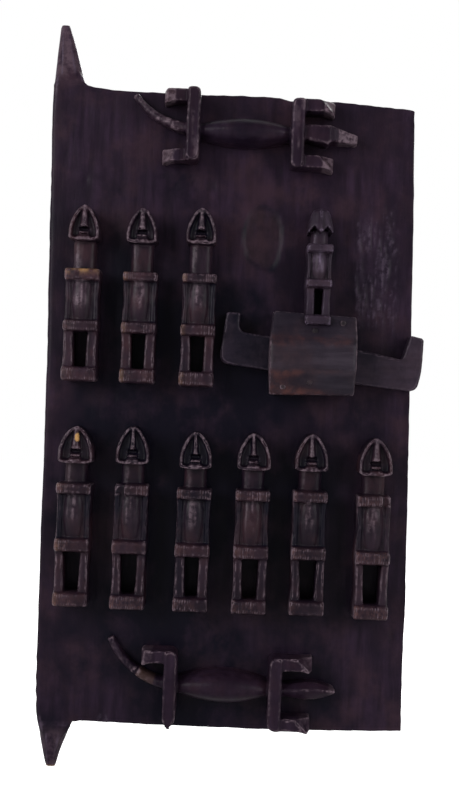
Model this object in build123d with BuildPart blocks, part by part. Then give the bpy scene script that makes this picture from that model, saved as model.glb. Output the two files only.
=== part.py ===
from build123d import *
import os
from math import cos, radians, sin

os.makedirs("parts", exist_ok=True)

# A Dogon granary door: a hewn plank that turns on two pivots of its own, carved in front with ancestor
# figures and lizards, and closed by a wooden lock whose hooked bolt slides in a pegged case.
#
# Millimetres. +Z is up, +X runs from the hinge edge to the free edge, and the carved front faces -Y.
# The origin is the tip of the lower pivot: x = 0 and y = 0 are the axis that the door turns on, and the
# plank's thickness is centred on y = 0.

# ---------------------------------------------------------------------------
# Plank
# ---------------------------------------------------------------------------
plank_thickness = 24.0
plank_width = 367.0  # hinge edge to free edge, at half height
plank_height = 632.0  # lower edge to upper edge
hinge_margin = 14.0  # hinge edge to pivot axis, at half height
hinge_lean = 4.4  # the hinge edge stands this much further out at its foot than at its top
free_edge_bow = 1.6  # the free edge swells by this at half height
hinge_rounding = 5.0
lower_edge_sag = 1.7
upper_edge_fall = 11.5  # the upper edge is lower by this at the free edge
split_depth = 4.0  # step where a splinter has left the upper edge
split_run = 8.0  # the step takes this much of the edge
corner_wear = 8.0  # the upper free corner is worn down over this length
corner_wear_rise = 1.5

# ---------------------------------------------------------------------------
# Pivots, whittled to eight sides from the plank's hinge side
# ---------------------------------------------------------------------------
lower_pivot_length = 45.0
upper_pivot_length = 69.0
pivot_root_width = 35.0
pivot_root_offset = 4.6  # the root's middle lies this far from the axis, towards the plank
pivot_root_inset = 2.0  # the root's section is this much narrower than the root, to seat inside it
pivot_waist_width = 21.5
pivot_waist_thickness = 18.0
pivot_waist_offset = 1.8
pivot_tip_width = 10.5
pivot_tip_thickness = 10.0
pivot_shoulder = 18.0  # the hinge edge starts to draw in this far before the pivot
pivot_lap = 6.0  # each pivot's core runs on into the plank by this
lower_root_rise = 3.0  # lower edge to the lower pivot's root
upper_root_rise = 7.0  # upper edge to the upper pivot's root

# ---------------------------------------------------------------------------
# Ancestor figures
# ---------------------------------------------------------------------------
figure_width = 34.0
figure_height = 177.0
figure_relief = 36.0
figure_lean = 1.0  # degrees, tops towards the free edge
first_figure_margin = 34.4  # hinge edge to the middle of a row's first figure
last_figure_margin = 38.5  # middle of the lower row's last figure to the free edge
bar_rounding = 3.0

# The figures are carved by eye. Each has its own shift along the row, rise over the row's line and
# extra height, and the side on which its shoulder has lost its front (-1 left, 1 right, 0 neither).
upper_row = [
    (3.8, 4.1, -4.0, 0),
    (1.9, 3.1, -4.9, 0),
    (0.9, 1.2, -2.0, 0),
]
lower_row = [
    (0.0, 1.3, 0.0, 0),
    (-2.9, -0.7, 2.9, -1),
    (0.0, -1.7, 0.0, 0),
    (-1.5, -2.6, 0.9, 0),
    (-3.9, -2.6, 0.9, 0),
    (0.0, -5.6, 1.0, 1),
]

# Heights of a figure's parts as shares of its own height, from the ground up. The lower row's figures
# have longer bodies, shorter necks and broader heads.
upper_figure_shares = {
    "foot": 0.084,
    "legs": 0.197,
    "hips": 0.067,
    "torso": 0.230,
    "shoulders": 0.056,
    "neck": 0.157,
    "head": 0.209,
}
lower_figure_shares = {
    "foot": 0.083,
    "legs": 0.220,
    "hips": 0.076,
    "torso": 0.242,
    "shoulders": 0.064,
    "neck": 0.107,
    "head": 0.208,
}
upper_head_width = 29.2
lower_head_width = 32.5
lock_figure_shares = {
    "foot": 0.085,
    "legs": 0.231,
    "hips": 0.077,
    "torso": 0.222,
    "shoulders": 0.077,
    "neck": 0.098,
    "head": 0.210,
}

# ---------------------------------------------------------------------------
# Lizards
# ---------------------------------------------------------------------------
lizard_relief = 32.0
lizard_tilt = 1.0  # degrees, heads down
lizard_body_length = 90.0  # between the inner sides of its legs
upper_body_width = 29.0
lower_body_width = 33.0
lizard_neck_width = 13.0
lizard_leg_width = 13.0
lizard_head_length = 53.0
lizard_head_width = 20.0
snout_drop = 3.5  # the blunt head's nose hangs this far below its neck
hind_foot_length = 23.5
fore_foot_length = 30.0
foot_height = 13.0
foot_facet = 15.0  # length of the slope that a chisel left at a foot's end
foot_end_depth = 5.0  # depth left at the end of that slope
tail_root_lap = 4.0  # the tail starts this far behind the body's end
tail_root_rise = 1.0  # and this far above its middle
tail_radius = 72.0
knee_rounding = 6.0  # where a leg turns into its foot
tail_width = 12.0
tail_tip_width = 7.0
tail_tip_relief = 7.0
upper_lizard_drop = 39.5  # upper edge to the middle of the upper lizard
lower_lizard_rise = 43.7  # lower edge to the middle of the lower lizard
upper_lizard_inset = 196.8  # hinge edge to the middle of its body
lower_lizard_inset = 185.5
lizard_half_span = 36.0
# How far each pair of legs runs below and above the middle of the body, and how far round each tail turns.
upper_hind_reach = (32.0, 40.0)
upper_fore_reach = (35.0, 33.0)
upper_tail_turn = 55.0
lower_hind_reach = (38.0, 36.0)
lower_fore_reach = (39.0, 33.0)
lower_tail_turn = 66.0

# ---------------------------------------------------------------------------
# Lock: case, bolt, tumblers and pegs
# ---------------------------------------------------------------------------
bolt_tilt = 7.7  # degrees, down towards the free edge
bolt_thickness = 20.0
bar_height = 33.5
bar_end_taper = 2.6  # the bar narrows by about this on each side, towards its free end
taper_margin = 4.0  # full height that the bar keeps outside the case, at the end of its return
left_hook_width = 15.0
left_hook_rise = 19.0
right_hook_width = 13.5
right_hook_rise = 24.0
right_hook_flare = 7.5  # the right hook's inner side leans out by this
hook_fillet = 8.0
heel_rounding = 10.0
bolt_throw = 22.5  # from rest towards the free edge, until the left hook meets the case
bolt_return = 5.0  # from rest back towards the hinge edge, until it meets the third figure
bolt_reach = 8.0  # the bolt's end stands this far past the free edge
bolt_lean = 3.0  # the bolt's free end leans by about this
bolt_chamfer = 1.0
running_clearance = 0.5  # between the bolt and what it slides in
stop_clearance = 1.0  # left at each end of the bolt's travel

case_width = 85.6
case_height = 79.5
case_depth = 48.0
case_upper_depth = 32.0
case_lower_depth = 34.0
case_upper_facet = 32.0  # height of the hewn slope at the top of the front
case_lower_facet = 26.0
case_drop = 4.7  # the case starts this far below the upper row's line
case_corner_inset = 4.0
channel_rise = 34.5  # lower side of the case to the middle of the channel
case_chamfer = 1.2
case_hewing = 1.2  # how far the block's hewn sides stray from true

tumbler_width = 8.0
tumbler_thickness = 14.0
tumbler_clearance = 0.4
tumbler_lift = 6.0
tumbler_roof = 6.0  # wood left between the grooves and the case's top
tumbler_places = (-14.0, 12.0)  # along the bolt, from the middle of the case
tumbler_seat_gap = 0.1

peg_radius = 3.0
peg_clearance = 0.1
peg_proud = 1.0
peg_wall = 1.6  # wood between a peg and the channel
peg_side_inset = 14.0
peg_end_inset = 7.7
figure_peg_drop = 17.2  # top of the case to the peg under its figure

lock_figure_width = 25.5
lock_figure_height = 115.0
lock_figure_relief = 42.0
lock_hood_width = 24.5
hood_notch_rise = 5.0  # height of the two notches in its hood's lower edge
hood_notch_depth = 24.0  # plank's face to the back of those notches
lock_figure_shift = 3.8  # from the middle of the case towards the free edge
lock_figure_lap = 11.5  # its foot bar hangs this far over the case's front

# ---------------------------------------------------------------------------
# Places worked out from the sizes
# ---------------------------------------------------------------------------
front = plank_thickness / 2  # depth of the front face, as an offset of Plane.XZ
lower_edge_z = lower_pivot_length
upper_edge_z = lower_edge_z + plank_height
hinge_edge_x = -hinge_margin
free_edge_x = hinge_edge_x + plank_width
upper_tip_z = upper_edge_z + upper_pivot_length

lower_lizard_z = lower_edge_z + lower_lizard_rise
upper_lizard_z = upper_edge_z - upper_lizard_drop
row_gap = (upper_lizard_z - lower_lizard_z - 2 * lizard_half_span - 2 * figure_height) / 3
lower_row_z = lower_lizard_z + lizard_half_span + row_gap
upper_row_z = lower_row_z + figure_height + row_gap
row_start_x = hinge_edge_x + first_figure_margin
row_pitch = (plank_width - first_figure_margin - last_figure_margin) / (len(lower_row) - 1)

third_figure_x = row_start_x + 2 * row_pitch + upper_row[2][0]
bolt_figure_gap = bolt_return + 1.5 * stop_clearance + 1.0
bolt_left_x = third_figure_x + figure_width / 2 + bolt_figure_gap
case_x = bolt_left_x + left_hook_width + hook_fillet + bolt_throw + stop_clearance + case_width / 2
case_z = upper_row_z - case_drop
case_top_z = case_z + case_height
channel_z = case_z + channel_rise
bolt_angle = radians(bolt_tilt)
bar_half = bar_height / 2
bolt_left = (bolt_left_x - case_x) / cos(bolt_angle)
bolt_right = (free_edge_x + bolt_reach - case_x) / cos(bolt_angle)
channel_half = bar_half + running_clearance
channel_depth = bolt_thickness + 2 * running_clearance
groove_top = (case_height - channel_rise) * cos(bolt_angle) - tumbler_roof
tumbler_length = groove_top - bar_half - tumbler_seat_gap - tumbler_lift - tumbler_clearance
middle_peg_offset = channel_half + peg_wall + peg_radius


def on_front(x, z, tilt=0.0, lift=0.0):
    """Plane on the plank's front face at (x, z), turned clockwise by tilt degrees, facing out."""
    turn = radians(tilt)
    return Plane(origin=(x, -front - lift, z), x_dir=(cos(turn), 0, -sin(turn)), z_dir=(0, -1, 0))


def side_view(seat):
    """Plane along a carving's upright axis: local x runs out of the plank and local y up the carving."""
    return Plane(origin=seat.origin, x_dir=seat.z_dir, z_dir=-seat.x_dir)


def top_view(seat, level):
    """Plane across a carving at a height: local x along its width, local y out of the plank, facing down."""
    origin = seat.from_local_coords(Vector(0, level, 0))
    return Plane(origin=origin, x_dir=seat.x_dir, z_dir=-seat.y_dir)


def cross_view(seat, place):
    """Plane across a lizard's back: local x up the plank and local y out of it, facing the head."""
    origin = seat.from_local_coords(Vector(place, 0, 0))
    return Plane(origin=origin, x_dir=seat.y_dir, z_dir=seat.x_dir)


def finish(piece, label):
    """Name a finished piece and write it."""
    piece.part.label = label
    export_step(piece.part, f"parts/{label}.step")
    return piece.part


# ---------------------------------------------------------------------------
# Peg places, shared by the plank, the case and the pegs
# ---------------------------------------------------------------------------
def along_bolt(u, v):
    """Point (x, z) that lies u along the bolt and v above its middle line, from the middle of the case."""
    x = case_x + u * cos(bolt_angle) + v * sin(bolt_angle)
    z = channel_z - u * sin(bolt_angle) + v * cos(bolt_angle)
    return x, z


peg_between_tumblers = (tumbler_places[0] + tumbler_places[1]) / 2 - peg_radius / 2
figure_peg_rise = max(middle_peg_offset, (case_height - channel_rise) * cos(bolt_angle) - figure_peg_drop)
peg_places = [
    (case_x + case_width / 2 - peg_side_inset, case_top_z - peg_end_inset - peg_radius / 2),
    along_bolt(peg_between_tumblers, figure_peg_rise),
    (case_x - case_width / 2 + peg_side_inset, case_z + peg_end_inset),
    along_bolt(0.0, -middle_peg_offset),
]


def case_front(z):
    """Depth of the case's front at a height: a flat face between two hewn slopes."""
    rise = z - case_z
    if rise < case_lower_facet:
        return case_lower_depth + (case_depth - case_lower_depth) * rise / case_lower_facet
    fall = case_top_z - z
    if fall < case_upper_facet:
        return case_upper_depth + (case_depth - case_upper_depth) * fall / case_upper_facet
    return case_depth


# ---------------------------------------------------------------------------
# Plank with its two pivots
# ---------------------------------------------------------------------------
def whittle_pivot(root_z, waist_z, tip_z):
    """Core of one pivot: three eight-sided sections, from its root in the plank to its blunt tip."""
    root_width = pivot_root_width - pivot_root_inset
    root_thickness = plank_thickness - pivot_root_inset / 2
    sections = [
        (root_z, pivot_root_offset, root_width, root_thickness),
        (waist_z, pivot_waist_offset, pivot_waist_width, pivot_waist_thickness),
        (tip_z, 0.0, pivot_tip_width, pivot_tip_thickness),
    ]
    outlines = []
    for z, offset_x, width, thickness in sections:
        with BuildSketch(Plane.XY.offset(z)) as section:
            with Locations((offset_x, 0)):
                Rectangle(width, thickness)
            chamfer(section.vertices(), length=thickness * 0.26)
        outlines.append(section.sketch)
    loft(outlines, ruled=True)


with BuildPart() as panel:
    with BuildSketch(Plane.XZ.offset(-front)) as outline:
        with BuildLine():
            root_left = pivot_root_offset - pivot_root_width / 2
            root_right = pivot_root_offset + pivot_root_width / 2
            foot = (hinge_edge_x - hinge_lean / 2, lower_edge_z + pivot_shoulder)
            head = (hinge_edge_x + hinge_lean / 2, upper_edge_z - pivot_shoulder)
            lower_corner = (free_edge_x - free_edge_bow, lower_edge_z)
            upper_corner = (free_edge_x - free_edge_bow / 2, upper_edge_z - upper_edge_fall)
            lower_middle = (hinge_edge_x + plank_width * 0.6, lower_edge_z - lower_edge_sag)
            splinter_x = hinge_edge_x + plank_width * 0.64
            Polyline(
                head,
                foot,
                (root_left, lower_edge_z + lower_root_rise),
                (root_right, lower_edge_z + lower_root_rise),
                lower_middle,
                lower_corner,
            )
            bow = (free_edge_x + free_edge_bow / 2, (lower_edge_z + upper_edge_z) / 2)
            ThreePointArc(lower_corner, bow, upper_corner)
            Polyline(
                upper_corner,
                (free_edge_x - corner_wear, upper_edge_z - upper_edge_fall + corner_wear_rise),
                (hinge_edge_x + plank_width * 0.83, upper_edge_z - split_depth - 1),
                (splinter_x + split_run, upper_edge_z - split_depth),
                (splinter_x, upper_edge_z - split_depth / 3),
                (hinge_edge_x + plank_width * 0.24, upper_edge_z + upper_root_rise / 3),
                (root_right, upper_edge_z + upper_root_rise),
                (root_left + 2, upper_edge_z + upper_root_rise),
                head,
            )
        make_face()
    extrude(amount=plank_thickness)
    long_edges = panel.edges().filter_by(lambda edge: edge.length > plank_height / 2)
    fillet(long_edges.sort_by(Axis.X)[:2], radius=hinge_rounding)
    whittle_pivot(lower_edge_z + lower_root_rise + pivot_lap, lower_edge_z * 0.5, 0.0)
    upper_root_z = upper_edge_z + upper_root_rise - pivot_lap
    whittle_pivot(upper_root_z, upper_edge_z + upper_pivot_length * 0.52, upper_tip_z)
    with BuildSketch(Plane.XZ.offset(-front)):
        with Locations(*peg_places):
            Circle(peg_radius + peg_clearance)
    extrude(amount=plank_thickness, mode=Mode.SUBTRACT)
finish(panel, "panel")


# ---------------------------------------------------------------------------
# Ancestor figures
# ---------------------------------------------------------------------------
def arch_line(half, bottom, top, spring=0.32):
    """Left half of a pointed arch, from its foot to its apex."""
    side = bottom + spring * (top - bottom)
    Line((-half, bottom), (-half, side))
    ThreePointArc((-half, side), (-0.72 * half, bottom + 0.78 * (top - bottom)), (0, top))


def carve_hood(seat, bottom, top, width, relief):
    """Head of the lock's figure: a hood of flat facets on either side of a ridge, its lower edge a W."""
    outlines = []
    for place, span, depth in (
        (bottom, width, 0.95 * relief),
        (bottom + 0.55 * (top - bottom), 0.83 * width, 0.87 * relief),
        (top, 0.48 * width, 0.74 * relief),
    ):
        with BuildSketch(top_view(seat, place)) as section:
            with BuildLine():
                Polyline(
                    (-span / 2, 0),
                    (-span / 2, 0.8 * depth),
                    (-0.14 * span, 0.96 * depth),
                    (0, depth),
                    (0.14 * span, 0.96 * depth),
                    (span / 2, 0.8 * depth),
                    (span / 2, 0),
                    close=True,
                )
            make_face()
        outlines.append(section.sketch)
    loft(outlines, ruled=True)
    with BuildSketch(seat.offset(hood_notch_depth)) as notches:
        with BuildLine():
            Polyline(
                (0.06 * width, bottom),
                (0.26 * width, bottom + hood_notch_rise),
                (0.46 * width, bottom),
                close=True,
            )
        make_face()
        mirror(about=Plane.YZ)
    extrude(notches.sketch, amount=relief, mode=Mode.SUBTRACT)


def carve_cheeks(seat, bottom, top, width, relief):
    """Sink the cheeks of a figure's head on either side of its wedge-shaped nose."""
    head_height = top - bottom
    jaw = bottom + 0.17 * head_height
    brow = top - 0.13 * head_height
    with BuildSketch(seat.offset(0.56 * relief)) as cheeks:
        with BuildLine():
            Line((-0.35 * width, jaw), (-0.35 * width, jaw + 0.3 * head_height))
            ThreePointArc(
                (-0.35 * width, jaw + 0.3 * head_height),
                (-0.28 * width, jaw + 0.52 * head_height),
                (-0.09 * width, brow),
            )
            Polyline((-0.09 * width, brow), (-0.14 * width, jaw), (-0.35 * width, jaw))
        make_face()
        mirror(about=Plane.YZ)
    extrude(cheeks.sketch, amount=relief, mode=Mode.SUBTRACT)


def carve_figure(label, seat, size, head_width, shares, chipped=0, hooded=False, support=None):
    """One ancestor figure standing on the seat plane, cut in two views as a carver does.

    The side view gives the depth of each part and the front view its width. The chest is a barrel
    between flat arms. size is the figure's width, height and relief. chipped is the side on which the
    shoulder has lost its front.
    """
    width, height, relief = size
    total = sum(shares.values())
    level = {}
    top = 0.0
    for name, share in shares.items():
        level[name] = top
        top += share / total * height
    rounding = min(bar_rounding, 0.3 * (level["legs"] - level["foot"]))
    leg_depth, arm_depth, groove_depth = 0.82 * relief, 0.72 * relief, 0.62 * relief
    chest_depth = groove_depth + 0.24 * width
    neck_depth, chin_depth, crown_depth = 0.52 * relief, 0.92 * relief, 0.78 * relief
    with BuildPart() as figure:
        with BuildSketch(side_view(seat)) as depths:
            for low, high, depth in (
                (level["foot"], level["legs"], relief),
                (level["hips"], level["torso"], relief),
                (level["shoulders"], level["neck"], relief),
            ):
                with Locations((depth / 2, (low + high) / 2)):
                    Rectangle(depth, high - low)
            fillet(depths.vertices().group_by(Axis.X)[-1], radius=rounding)
            with Locations((leg_depth / 2, (level["legs"] + level["hips"]) / 2)):
                Rectangle(leg_depth, level["hips"] - level["legs"])
            with Locations((neck_depth / 2, (level["neck"] + level["head"]) / 2)):
                Rectangle(neck_depth, level["head"] - level["neck"])
            if not hooded:
                with BuildLine():
                    Polyline(
                        (0, level["head"]),
                        (chin_depth, level["head"]),
                        (crown_depth, height),
                        (0, height),
                        close=True,
                    )
                make_face()
        extrude(amount=width / 2, both=True)
        with BuildSketch(seat) as front_view:
            with Locations((0, level["neck"] / 2)):
                Rectangle(width, level["neck"])
            with Locations((0.01 * width, (level["legs"] + level["hips"]) / 2)):
                Rectangle(0.41 * width, level["hips"] - level["legs"], mode=Mode.SUBTRACT)
            with Locations((0, (level["neck"] + level["head"]) / 2)):
                Rectangle(0.66 * width, level["head"] - level["neck"])
            if not hooded:
                with BuildLine():
                    arch_line(head_width / 2, level["head"], height)
                    mirror(about=Plane.YZ)
                    Line((-head_width / 2, level["head"]), (head_width / 2, level["head"]))
                make_face()
        extrude(amount=relief, mode=Mode.INTERSECT)
        with BuildSketch(top_view(seat, level["shoulders"] + 1)):
            with BuildLine():
                Polyline(
                    (-0.29 * width, groove_depth),
                    (-0.29 * width, arm_depth),
                    (-0.5 * width, arm_depth),
                    (-0.5 * width, 0),
                    (0.5 * width, 0),
                    (0.5 * width, arm_depth),
                    (0.29 * width, arm_depth),
                    (0.29 * width, groove_depth),
                )
                ThreePointArc((-0.29 * width, groove_depth), (0, chest_depth), (0.29 * width, groove_depth))
            make_face()
        extrude(amount=level["shoulders"] - level["torso"] + 2)
        if hooded:
            carve_hood(seat, level["head"], height, head_width, relief)
        else:
            carve_cheeks(seat, level["head"], height, head_width, relief)
        if chipped:
            with BuildSketch(seat.offset(arm_depth)):
                with Locations((0.38 * chipped * width, (level["shoulders"] + level["neck"]) / 2)):
                    Rectangle(0.26 * width, level["neck"] - level["shoulders"] + 1)
            extrude(amount=relief, mode=Mode.SUBTRACT)
        if support is not None:
            add(support, mode=Mode.SUBTRACT)
    return finish(figure, label)


for row_name, row, row_z, head_width, shares in (
    ("upper", upper_row, upper_row_z, upper_head_width, upper_figure_shares),
    ("lower", lower_row, lower_row_z, lower_head_width, lower_figure_shares),
):
    for number, (shift, rise, extra_height, chipped) in enumerate(row):
        carve_figure(
            f"ancestor_{row_name}_{number + 1}",
            on_front(row_start_x + number * row_pitch + shift, row_z + rise, figure_lean),
            (figure_width, figure_height + extra_height, figure_relief),
            head_width,
            shares,
            chipped,
        )


# ---------------------------------------------------------------------------
# Lizards
# ---------------------------------------------------------------------------
def carve_lizard(label, seat, body_width, hind_reach, fore_reach, tail_turn, leaf_head, lost_foot):
    """One lizard lying along the plank, head to the free edge, seen from above.

    hind_reach and fore_reach are how far each pair of legs runs below and above the body's middle. With
    lost_foot, the lower hind leg ends in a stump.
    """
    half = lizard_body_length / 2
    leg_outside = half + lizard_leg_width
    with BuildPart() as lizard:
        # The tail is a crescent that curls up the plank and sinks towards its tip.
        def tail_point(turn, radius):
            across = -half - tail_root_lap - radius * sin(radians(turn))
            return across, tail_radius - radius * cos(radians(turn)) + tail_root_rise

        widths = (tail_width / 2, (tail_width + tail_tip_width) / 4, tail_tip_width / 2)
        stations = (0.0, tail_turn / 2, tail_turn)
        with BuildSketch(seat):
            with BuildLine():
                outer = [tail_point(turn, tail_radius + side) for turn, side in zip(stations, widths)]
                inner = [tail_point(turn, tail_radius - side) for turn, side in zip(stations, widths)]
                ThreePointArc(*outer)
                Line(outer[-1], inner[-1])
                ThreePointArc(*inner)
                Line(inner[0], outer[0])
            make_face()
        extrude(amount=lizard_relief)
        root = seat.from_local_coords(Vector(*tail_point(0, tail_radius), 0))
        tip = seat.from_local_coords(Vector(*tail_point(tail_turn, tail_radius), 0))
        chord = tip - root
        with BuildSketch(Plane(origin=root, x_dir=chord, z_dir=chord.cross(seat.z_dir))):
            with BuildLine():
                Polyline(
                    (-tail_width, 0),
                    (chord.length + tail_width, 0),
                    (chord.length + tail_width, tail_tip_relief),
                    (-tail_width, 0.75 * lizard_relief),
                    close=True,
                )
            make_face()
        extrude(amount=tail_radius, both=True, mode=Mode.INTERSECT)

        # The body is a spindle with a ridge along its back.
        for place, width, depth in (
            (-half - 2, lizard_neck_width, 0.62 * lizard_relief),
            (0.0, body_width, lizard_relief),
            (half + 2, lizard_neck_width, 0.62 * lizard_relief),
        ):
            with BuildSketch(cross_view(seat, place)):
                with BuildLine():
                    Polyline(
                        (-0.5 * width, 0),
                        (-0.5 * width, 0.5 * depth),
                        (-0.27 * width, 0.86 * depth),
                        (0, depth),
                        (0.27 * width, 0.86 * depth),
                        (0.5 * width, 0.5 * depth),
                        (0.5 * width, 0),
                        close=True,
                    )
                make_face()
        loft()

        # Legs stand across the body, and a foot with a sloping end leaves each of their ends.
        for side, (below, above), foot_length, foot_depth in (
            (-1, hind_reach, hind_foot_length, 0.66 * lizard_relief),
            (1, fore_reach, fore_foot_length, 0.88 * lizard_relief),
        ):
            stump = lost_foot and side < 0
            with BuildSketch(seat) as leg:
                with Locations((side * (half + lizard_leg_width / 2), (above - below) / 2)):
                    Rectangle(lizard_leg_width, above + below)
                knees = leg.vertices().sort_by_distance((0, (above - below) / 2))[:2]
                fillet(knees, radius=knee_rounding)
                if stump:
                    fillet(leg.vertices().sort_by_distance((-leg_outside, -below))[0], radius=knee_rounding)
            extrude(amount=lizard_relief, taper=1.5)
            for upper_side in (above,) if stump else (above, foot_height - below):
                with BuildSketch(top_view(seat, upper_side)):
                    with BuildLine():
                        Polyline(
                            (side * (half + 0.4 * lizard_leg_width), 0),
                            (side * (half + 0.4 * lizard_leg_width), foot_depth),
                            (side * (leg_outside + foot_length - foot_facet), foot_depth),
                            (side * (leg_outside + foot_length), foot_end_depth),
                            (side * (leg_outside + foot_length), 0),
                            close=True,
                        )
                    make_face()
                extrude(amount=foot_height)

        # One lizard has a leaf-shaped head, the other a blunt head with a long snout.
        neck = half + 0.6 * lizard_leg_width
        brow = leg_outside + 0.55 * lizard_head_length
        nose = leg_outside + lizard_head_length
        with BuildSketch(seat):
            with BuildLine():
                if leaf_head:
                    neck_half = 0.3 * lizard_head_width
                    tip_half = 0.2 * lizard_head_width
                    leaf_half = 0.45 * lizard_head_width
                    ThreePointArc((neck, neck_half), (brow, leaf_half), (nose - tip_half, tip_half))
                    RadiusArc((nose - tip_half, tip_half), (nose, 0), tip_half)
                    mirror(about=Plane.XZ)
                    Line((neck, -neck_half), (neck, neck_half))
                else:
                    crown_half = 0.41 * lizard_head_width
                    throat_half = 0.31 * lizard_head_width
                    jaw_half = 0.56 * lizard_head_width
                    nose_half = 0.22 * lizard_head_width
                    Polyline(
                        (neck, crown_half),
                        (brow, crown_half),
                        (nose, nose_half - snout_drop),
                        (nose, -nose_half - snout_drop),
                        (brow + snout_drop, -crown_half),
                        (brow, -jaw_half),
                        (neck, -throat_half),
                        close=True,
                    )
            make_face()
        extrude(amount=0.78 * lizard_relief, taper=4)
    return finish(lizard, label)


carve_lizard(
    "lizard_upper",
    on_front(hinge_edge_x + upper_lizard_inset, upper_lizard_z, lizard_tilt),
    upper_body_width,
    upper_hind_reach,
    upper_fore_reach,
    upper_tail_turn,
    leaf_head=False,
    lost_foot=False,
)
carve_lizard(
    "lizard_lower",
    on_front(hinge_edge_x + lower_lizard_inset, lower_lizard_z, lizard_tilt),
    lower_body_width,
    lower_hind_reach,
    lower_fore_reach,
    lower_tail_turn,
    leaf_head=True,
    lost_foot=True,
)

# ---------------------------------------------------------------------------
# Lock case: a faceted block, channelled from the back for the bolt and the tumblers
# ---------------------------------------------------------------------------
bolt_plane = on_front(case_x, channel_z, bolt_tilt)

with BuildPart() as lock_case:
    with BuildSketch(on_front(case_x, case_z)):
        with BuildLine():
            Polyline(
                (-case_width / 2 + case_hewing, 0),
                (case_width / 2 - 1.5 * case_hewing, 0),
                (case_width / 2, 0.55 * case_height),
                (case_width / 2 - case_hewing / 2, case_height - 2 * case_hewing),
                (-case_width / 2 + case_corner_inset, case_height + 2 * case_hewing),
                (-case_width / 2, case_height - case_upper_facet),
                (-case_width / 2, case_lower_facet),
                close=True,
            )
        make_face()
    extrude(amount=case_depth)
    with BuildSketch(side_view(on_front(case_x, case_z))):
        with BuildLine():
            Polyline(
                (0, 0),
                (case_lower_depth, 0),
                (case_depth, case_lower_facet),
                (case_depth, case_height - case_upper_facet),
                (case_upper_depth, case_height),
                (case_upper_depth - case_hewing, case_height + 2.5 * case_hewing),
                (0, case_height + 2.5 * case_hewing),
                close=True,
            )
        make_face()
    extrude(amount=case_width, both=True, mode=Mode.INTERSECT)
    chamfer(lock_case.faces().sort_by(Axis.Y)[0].edges().filter_by(Axis.Z), length=case_chamfer)
    case_block = lock_case.part  # the block before it is hollowed
    with BuildSketch(bolt_plane):
        Rectangle(2 * case_width, 2 * channel_half)
    extrude(amount=channel_depth, mode=Mode.SUBTRACT)
    with BuildSketch(bolt_plane):
        for place in tumbler_places:
            with Locations((place, groove_top / 2)):
                Rectangle(tumbler_width + 2 * tumbler_clearance, groove_top)
    extrude(amount=tumbler_thickness + 2 * tumbler_clearance, mode=Mode.SUBTRACT)
    with BuildSketch(Plane.XZ.offset(front)):
        with Locations(*peg_places):
            Circle(peg_radius + peg_clearance)
    extrude(amount=case_depth, mode=Mode.SUBTRACT)
finish(lock_case, "lock_case")

lock_figure_seat = on_front(case_x + lock_figure_shift, case_top_z - lock_figure_lap, figure_lean)
carve_figure(
    "lock_figure",
    lock_figure_seat,
    (lock_figure_width, lock_figure_height, lock_figure_relief),
    lock_hood_width,
    lock_figure_shares,
    hooded=True,
    support=case_block,
)

# ---------------------------------------------------------------------------
# Bolt: a flat bar with a hook turned up at each end, notched for the tumblers
# ---------------------------------------------------------------------------
taper_start = case_width / 2 + bolt_return + taper_margin
with BuildPart() as bolt:
    with BuildSketch(bolt_plane.offset(running_clearance)) as bar:
        hook_root = bolt_left + left_hook_width
        right_root = bolt_right - right_hook_width - right_hook_flare
        narrow_half = bar_half - bar_end_taper
        with BuildLine():
            Polyline(
                (bolt_left, -bar_half),
                (taper_start, -bar_half),
                (bolt_right - bolt_lean, -narrow_half - bolt_lean / 3),
                (bolt_right, bolt_lean),
                (bolt_right - bolt_lean, bar_half + right_hook_rise - bolt_lean),
                (bolt_right - right_hook_width - bolt_lean, bar_half + right_hook_rise - bolt_lean / 2),
                (right_root, narrow_half),
                (taper_start, bar_half),
                (hook_root, bar_half),
                (hook_root - bolt_lean / 3, bar_half + left_hook_rise),
                (bolt_left, bar_half + left_hook_rise - bolt_lean / 2),
                close=True,
            )
        make_face()
        fillet(bar.vertices().sort_by_distance((bolt_left, -bar_half))[0], radius=heel_rounding)
        fillet(bar.vertices().sort_by_distance((bolt_right, -bar_half))[0], radius=0.7 * heel_rounding)
        fillet(bar.vertices().sort_by_distance((hook_root, bar_half))[0], radius=hook_fillet)
    extrude(amount=bolt_thickness)
    chamfer(bolt.faces().sort_by(Axis.Y)[0].edges(), length=bolt_chamfer)
    with BuildSketch(bolt_plane):
        for place in tumbler_places:
            with Locations((place - bolt_throw, bar_half)):
                Rectangle(tumbler_width + 4 * tumbler_clearance, 2 * tumbler_lift)
    extrude(amount=channel_depth, mode=Mode.SUBTRACT)
finish(bolt, "bolt")

# ---------------------------------------------------------------------------
# Tumblers: flat wooden slips that rest on the bolt and drop into its notches when it is thrown
# ---------------------------------------------------------------------------
for number, place in enumerate(tumbler_places):
    with BuildPart() as tumbler:
        with BuildSketch(bolt_plane.offset(tumbler_clearance)):
            with Locations((place, bar_half + tumbler_seat_gap + tumbler_length / 2)):
                Rectangle(tumbler_width, tumbler_length)
        extrude(amount=tumbler_thickness)
        chamfer(tumbler.edges().filter_by(Axis.Y).group_by(Axis.Z)[0], length=tumbler_width / 8)
    finish(tumbler, f"tumbler_{number + 1}")

# ---------------------------------------------------------------------------
# Pegs that pin the case to the plank, trimmed flush at the back
# ---------------------------------------------------------------------------
for number, (peg_x, peg_z) in enumerate(peg_places):
    with BuildPart() as peg:
        with BuildSketch(Plane.XZ.offset(-front)):
            with Locations((peg_x, peg_z)):
                Circle(peg_radius)
        extrude(amount=plank_thickness + case_front(peg_z) + peg_proud)
        chamfer(peg.faces().sort_by(Axis.Y)[0].edges(), length=peg_radius / 5)
    finish(peg, f"case_peg_{number + 1}")

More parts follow.
